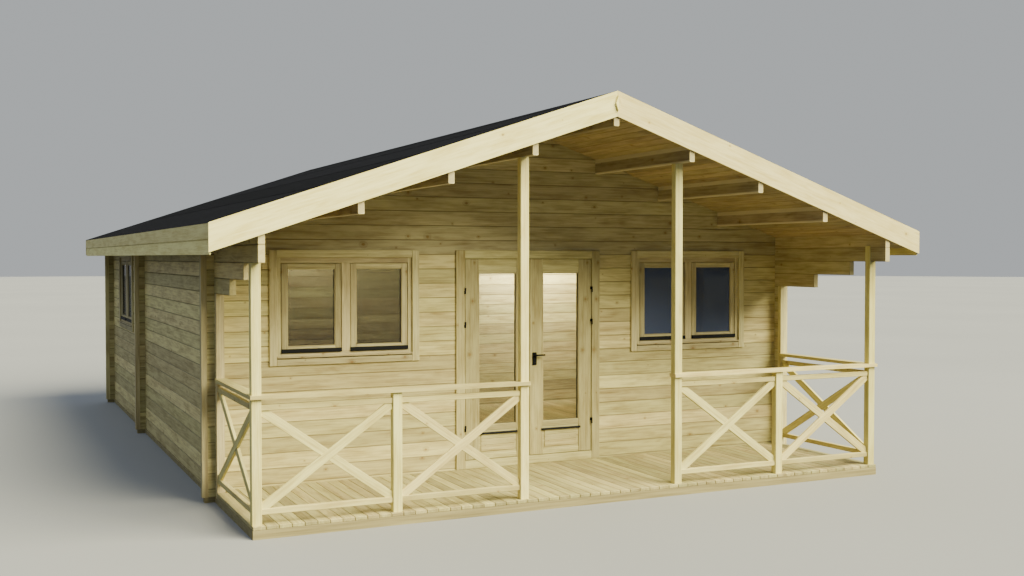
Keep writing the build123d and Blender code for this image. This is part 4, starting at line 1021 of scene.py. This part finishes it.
class CABIN_OT_doors(bpy.types.Operator):
    """Join the door frame and the two glazed leaves, and glaze them"""

    bl_idname = "cabin.doors"
    bl_label = "Double door"

    # Half widths from the middle of the doorway, then heights and thicknesses
    clear_x, jamb_x, casing_x = 0.676, 0.7257, 0.765
    head_rail, foot = 0.038, 0.176
    casing, casing_lap, stop, stop_front = 0.018, 0.039, 0.014, -2.971
    inner, outer, front, back = 0.0025, 0.671, -3.020, -2.976
    stile, top_rail, bottom_rail, rail_step = 0.137, 0.130, 0.316, 0.0008
    margin, backing_lap, backing_in = 0.048, 0.046, 0.007
    fields, field_margin, field_side, field_gap, field_ease = 3, 0.070, 0.022, 0.001, 0.004
    bead, bead_depths = 0.008, ((-0.0095, -0.0035), (-0.0405, -0.0345))
    pane_front, spacer = -0.0125, 0.0185
    drip_below, drip_over, drip_high = 0.074, 0.030, 0.018

    def frame(self):
        """Casings on both faces of the wall, then jambs, head and sill with stops for the leaves."""
        timber = Timber()
        clear, head, foot, stop = self.clear_x, HEAD_HEIGHT - self.head_rail, self.foot, self.stop
        floor, top, opening_top = FLOOR_TOP + SEAT, HEAD_HEIGHT + self.casing_lap, HEAD_HEIGHT - FIT
        for near, far in ((WALL_FACE - self.casing, WALL_FACE), (WALL_BACK, WALL_BACK + self.casing)):
            for side in (-1, 1):
                edge = sorted((side * clear, side * self.casing_x))
                timber.board((edge[0], near, floor), (edge[1], far, top), "Z", EASE)
            for low, high in ((head, top), (floor, foot)):
                timber.board((-clear, near + SEAT, low), (clear, far - SEAT, high), "X", EASE)
        stop_back = WALL_BACK + self.casing
        for side in (-1, 1):
            edge = sorted((side * clear, side * self.jamb_x))
            timber.board((edge[0], WALL_FACE, FRONT_LOG_BASE), (edge[1], WALL_BACK, opening_top), "Z",
                         BUILT_IN_EASE)
            edge = sorted((side * (clear - stop), side * clear))
            timber.board((edge[0], self.stop_front, foot), (edge[1], stop_back, head), "Z", SLIM_EASE)
        for low, high in ((head, opening_top), (FRONT_LOG_BASE, foot)):
            timber.board((-clear, WALL_FACE, low), (clear, WALL_BACK, high), "X", BUILT_IN_EASE)
        for low, high in ((head - stop, head), (foot, foot + stop)):
            timber.board((stop - clear, self.stop_front, low), (clear - stop, stop_back, high), "X",
                         SLIM_EASE)
        finished(timber.work, "door_frame_joinery", "cabin", "joinery_wood", "planed_pine_doors",
                 "door_frame")

    def leaf(self, side, name):
        """Stiles, rails, a fielded panel, beads, the sealed unit and the drip bar of one leaf."""
        node, body = name + "_door_leaf", name + "_door"
        low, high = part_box(node)
        front, back = self.front, self.back
        timber = Timber()
        for start in (self.inner, self.outer - self.stile):
            edge = sorted((side * start, side * (start + self.stile)))
            timber.board((edge[0], front, low.z), (edge[1], back, high.z), "Z", EASE)
        left, right = sorted((side * (self.inner + self.stile), side * (self.outer - self.stile)))
        foot, head = low.z + self.bottom_rail, high.z - self.top_rail
        near, far = front + self.rail_step, back - self.rail_step
        for bottom, top in ((head, high.z), (low.z, low.z + self.margin), (foot - self.margin, foot)):
            timber.board((left, near, bottom), (right, far, top), "X", EASE)
        timber.board((left, front + self.backing_in, low.z + self.backing_lap),
                     (right, back - self.backing_in, foot - self.backing_lap), "X", 0.0)
        start = low.z + self.field_margin
        step = (foot - self.field_margin - start) / self.fields
        for index in range(self.fields):
            bottom = start + index * step
            timber.board((left + self.field_side, front + SEAT, bottom),
                         (right - self.field_side, back - SEAT, bottom + step - self.field_gap), "X",
                         self.field_ease)
        middle, clear = (left + right) / 2, (right - left, head - foot)
        face = Matrix.Translation((0, front, (foot + head) / 2)) @ UPRIGHT
        for depth in self.bead_depths:
            ring(timber, face, (middle, 0), clear, (self.bead, self.bead), depth, SLIM_EASE)
        panes, spacers, drip = bmesh.new(), Timber(), bmesh.new()
        glaze(panes, spacers, face, (middle, 0), clear, self.pane_front, self.spacer)
        bar = Matrix.Translation((0, front, 0)) @ UPRIGHT
        add_drip_bar(drip, bar, (middle, foot - self.drip_below), clear[0] + self.drip_over, self.drip_high)
        finished(timber.work, node + "_joinery", body, "joinery_wood", "planed_pine_doors", node)
        finished(panes, body + "_panes", body, "clear_glass", "clear_door_glass", body + "_glass")
        finished(spacers.work, body + "_spacer", body, "black_metal", "anodised_spacer_bar")
        finished(drip, body + "_drip_bar", body, "black_metal", "powder_coated_black_steel")

    def execute(self, context):
        self.frame()
        self.leaf(-1, "left")
        self.leaf(1, "right")
        return {"FINISHED"}


class CABIN_OT_stage(bpy.types.Operator):
    """Set the floor, the lights and the camera"""

    bl_idname = "cabin.stage"
    bl_label = "Stage"

    room_lamp_height, room_lamp_tilt, room_lamp_high = 2.15, math.radians(96), 0.4

    def floor(self, scene):
        """A plain pale floor that throws less light up under the roof than it shows."""
        tree, shader, place = new_material("plain_pale_floor")
        haze = add(tree, "TexNoise", {"Vector": place, "Scale": 0.15, "Detail": 2.0})
        haze = add(tree, "MapRange", {0: haze, 1: 0.3, 2: 0.7})
        tone = add(tree, "Mix", {0: haze, 6: paint("#8a8a8d"), 7: paint("#8f8f92")}, data_type="RGBA")
        seen = add(tree, "LightPath").outputs["Is Camera Ray"]
        tone = add(tree, "Mix", {0: seen, 6: paint("#353940"), 7: tone}, data_type="RGBA")
        fill(tree, shader, {"Base Color": tone, "Roughness": 0.95})
        work = bmesh.new()
        bmesh.ops.create_circle(work, cap_ends=True, radius=120.0, segments=96)
        mesh = bpy.data.meshes.new("stage_floor")
        work.to_mesh(mesh)
        work.free()
        mesh.materials.append(bpy.data.materials["plain_pale_floor"])
        floor = bpy.data.objects.new("stage_floor", mesh)
        scene.collection.objects.link(floor)
        floor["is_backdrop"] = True

    def surroundings(self, scene):
        """A pale backdrop behind the cabin, dim air before it and a brighter dome above."""
        scene.world = bpy.data.worlds.new("studio")
        scene.world.use_nodes = True
        tree = scene.world.node_tree
        way = add(tree, "SeparateXYZ", {0: add(tree, "TexCoord").outputs["Generated"]}).outputs
        behind = add(tree, "MapRange", {0: way["Y"], 1: 0.0, 2: 0.5}, interpolation_type="SMOOTHSTEP")
        sky = add(tree, "Mix", {0: behind, 6: paint("#5a6472"), 7: paint("#b4b8ba")}, data_type="RGBA")
        dome = add(tree, "MapRange", {0: way["Z"], 1: 0.2, 2: 0.75}, interpolation_type="SMOOTHSTEP")
        sky = add(tree, "Mix", {0: dome, 6: sky, 7: paint("#d3e1ee")}, data_type="RGBA")
        fill(tree, tree.nodes["Background"], {"Color": sky, "Strength": 1.0})

    def lamps(self, scene):
        """Soft light from the front right, and daylight in the rooms behind the glass."""
        key = bpy.data.lights.new("key", "SUN")
        key.energy, key.angle, key.color = 12.8, math.radians(50), (1.0, 0.955, 0.64)
        lamp = bpy.data.objects.new("key", key)
        lamp.rotation_euler = (math.radians(48), 0, math.radians(38))
        scene.collection.objects.link(lamp)
        for name, watts, x, y, wide in (
                ("room_right", 108, 2.1, 0.25, 1.1), ("room_left", 58, -1.1, -0.1, 0.8),
                ("back_room", 85, 0.6, 2.6, 0.8)):
            inside = bpy.data.lights.new(name, "AREA")
            inside.energy, inside.color = watts, (1.0, 0.99, 0.8)
            inside.shape, inside.size, inside.size_y = "RECTANGLE", wide, self.room_lamp_high
            lamp = bpy.data.objects.new(name, inside)
            lamp.location = (x, y, self.room_lamp_height)
            lamp.rotation_euler = (self.room_lamp_tilt, 0, 0)
            scene.collection.objects.link(lamp)

    def camera(self, scene):
        """The photograph's view, from 2 m up in front of the terrace's left corner."""
        lens = bpy.data.cameras.new("photo_view")
        lens.sensor_width, lens.lens, lens.clip_end = 36.0, 40.18, 500
        camera = bpy.data.objects.new("photo_view", lens)
        camera.location = (-4.8467, -12.826, 2.0807)
        camera.rotation_euler = (math.radians(90 - 1.539), 0, math.radians(-25.4095))
        scene.collection.objects.link(camera)
        scene.camera = camera

    def execute(self, context):
        self.floor(context.scene)
        self.surroundings(context.scene)
        self.lamps(context.scene)
        self.camera(context.scene)
        return {"FINISHED"}


class CABIN_PT_panel(bpy.types.Panel):
    """Lists the cabin's pieces in the order they are made"""

    bl_label = "Log cabin"
    bl_idname = "CABIN_PT_panel"
    bl_space_type = "VIEW_3D"
    bl_region_type = "UI"
    bl_category = "Cabin"

    def draw(self, context):
        for group in (context.scene.cabin_sizes, context.scene.cabin_colours):
            for name in group.bl_rna.properties.keys():
                if name not in ("rna_type", "name"):
                    self.layout.prop(group, name)
        for operator in OPERATORS:
            self.layout.operator(operator.bl_idname)


OPERATORS = (
    CABIN_OT_materials, CABIN_OT_base, CABIN_OT_logs, CABIN_OT_beams, CABIN_OT_trim_boards, CABIN_OT_posts,
    CABIN_OT_fittings, CABIN_OT_terrace_floor, CABIN_OT_room_floor, CABIN_OT_roof_boards, CABIN_OT_roof_felt,
    CABIN_OT_railings, CABIN_OT_windows, CABIN_OT_doors, CABIN_OT_stage,
)
CLASSES = (CabinSizes, CabinColours, *OPERATORS, CABIN_PT_panel)


def register():
    for kind in CLASSES:
        bpy.utils.register_class(kind)
    bpy.types.Scene.cabin_sizes = bpy.props.PointerProperty(type=CabinSizes)
    bpy.types.Scene.cabin_colours = bpy.props.PointerProperty(type=CabinColours)


def unregister():
    del bpy.types.Scene.cabin_colours
    del bpy.types.Scene.cabin_sizes
    for kind in reversed(CLASSES):
        bpy.utils.unregister_class(kind)


def main():
    register()
    bpy.ops.cabin.materials()
    bpy.ops.cabin.base()
    bpy.ops.cabin.logs()
    bpy.ops.cabin.beams()
    bpy.ops.cabin.trim_boards()
    bpy.ops.cabin.posts()
    bpy.ops.cabin.fittings()
    bpy.ops.cabin.terrace_floor()
    bpy.ops.cabin.room_floor()
    bpy.ops.cabin.roof_boards()
    bpy.ops.cabin.roof_felt()
    bpy.ops.cabin.railings()
    bpy.ops.cabin.windows()
    bpy.ops.cabin.doors()
    bpy.ops.cabin.stage()
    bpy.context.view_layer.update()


if __name__ == "__main__":
    main()
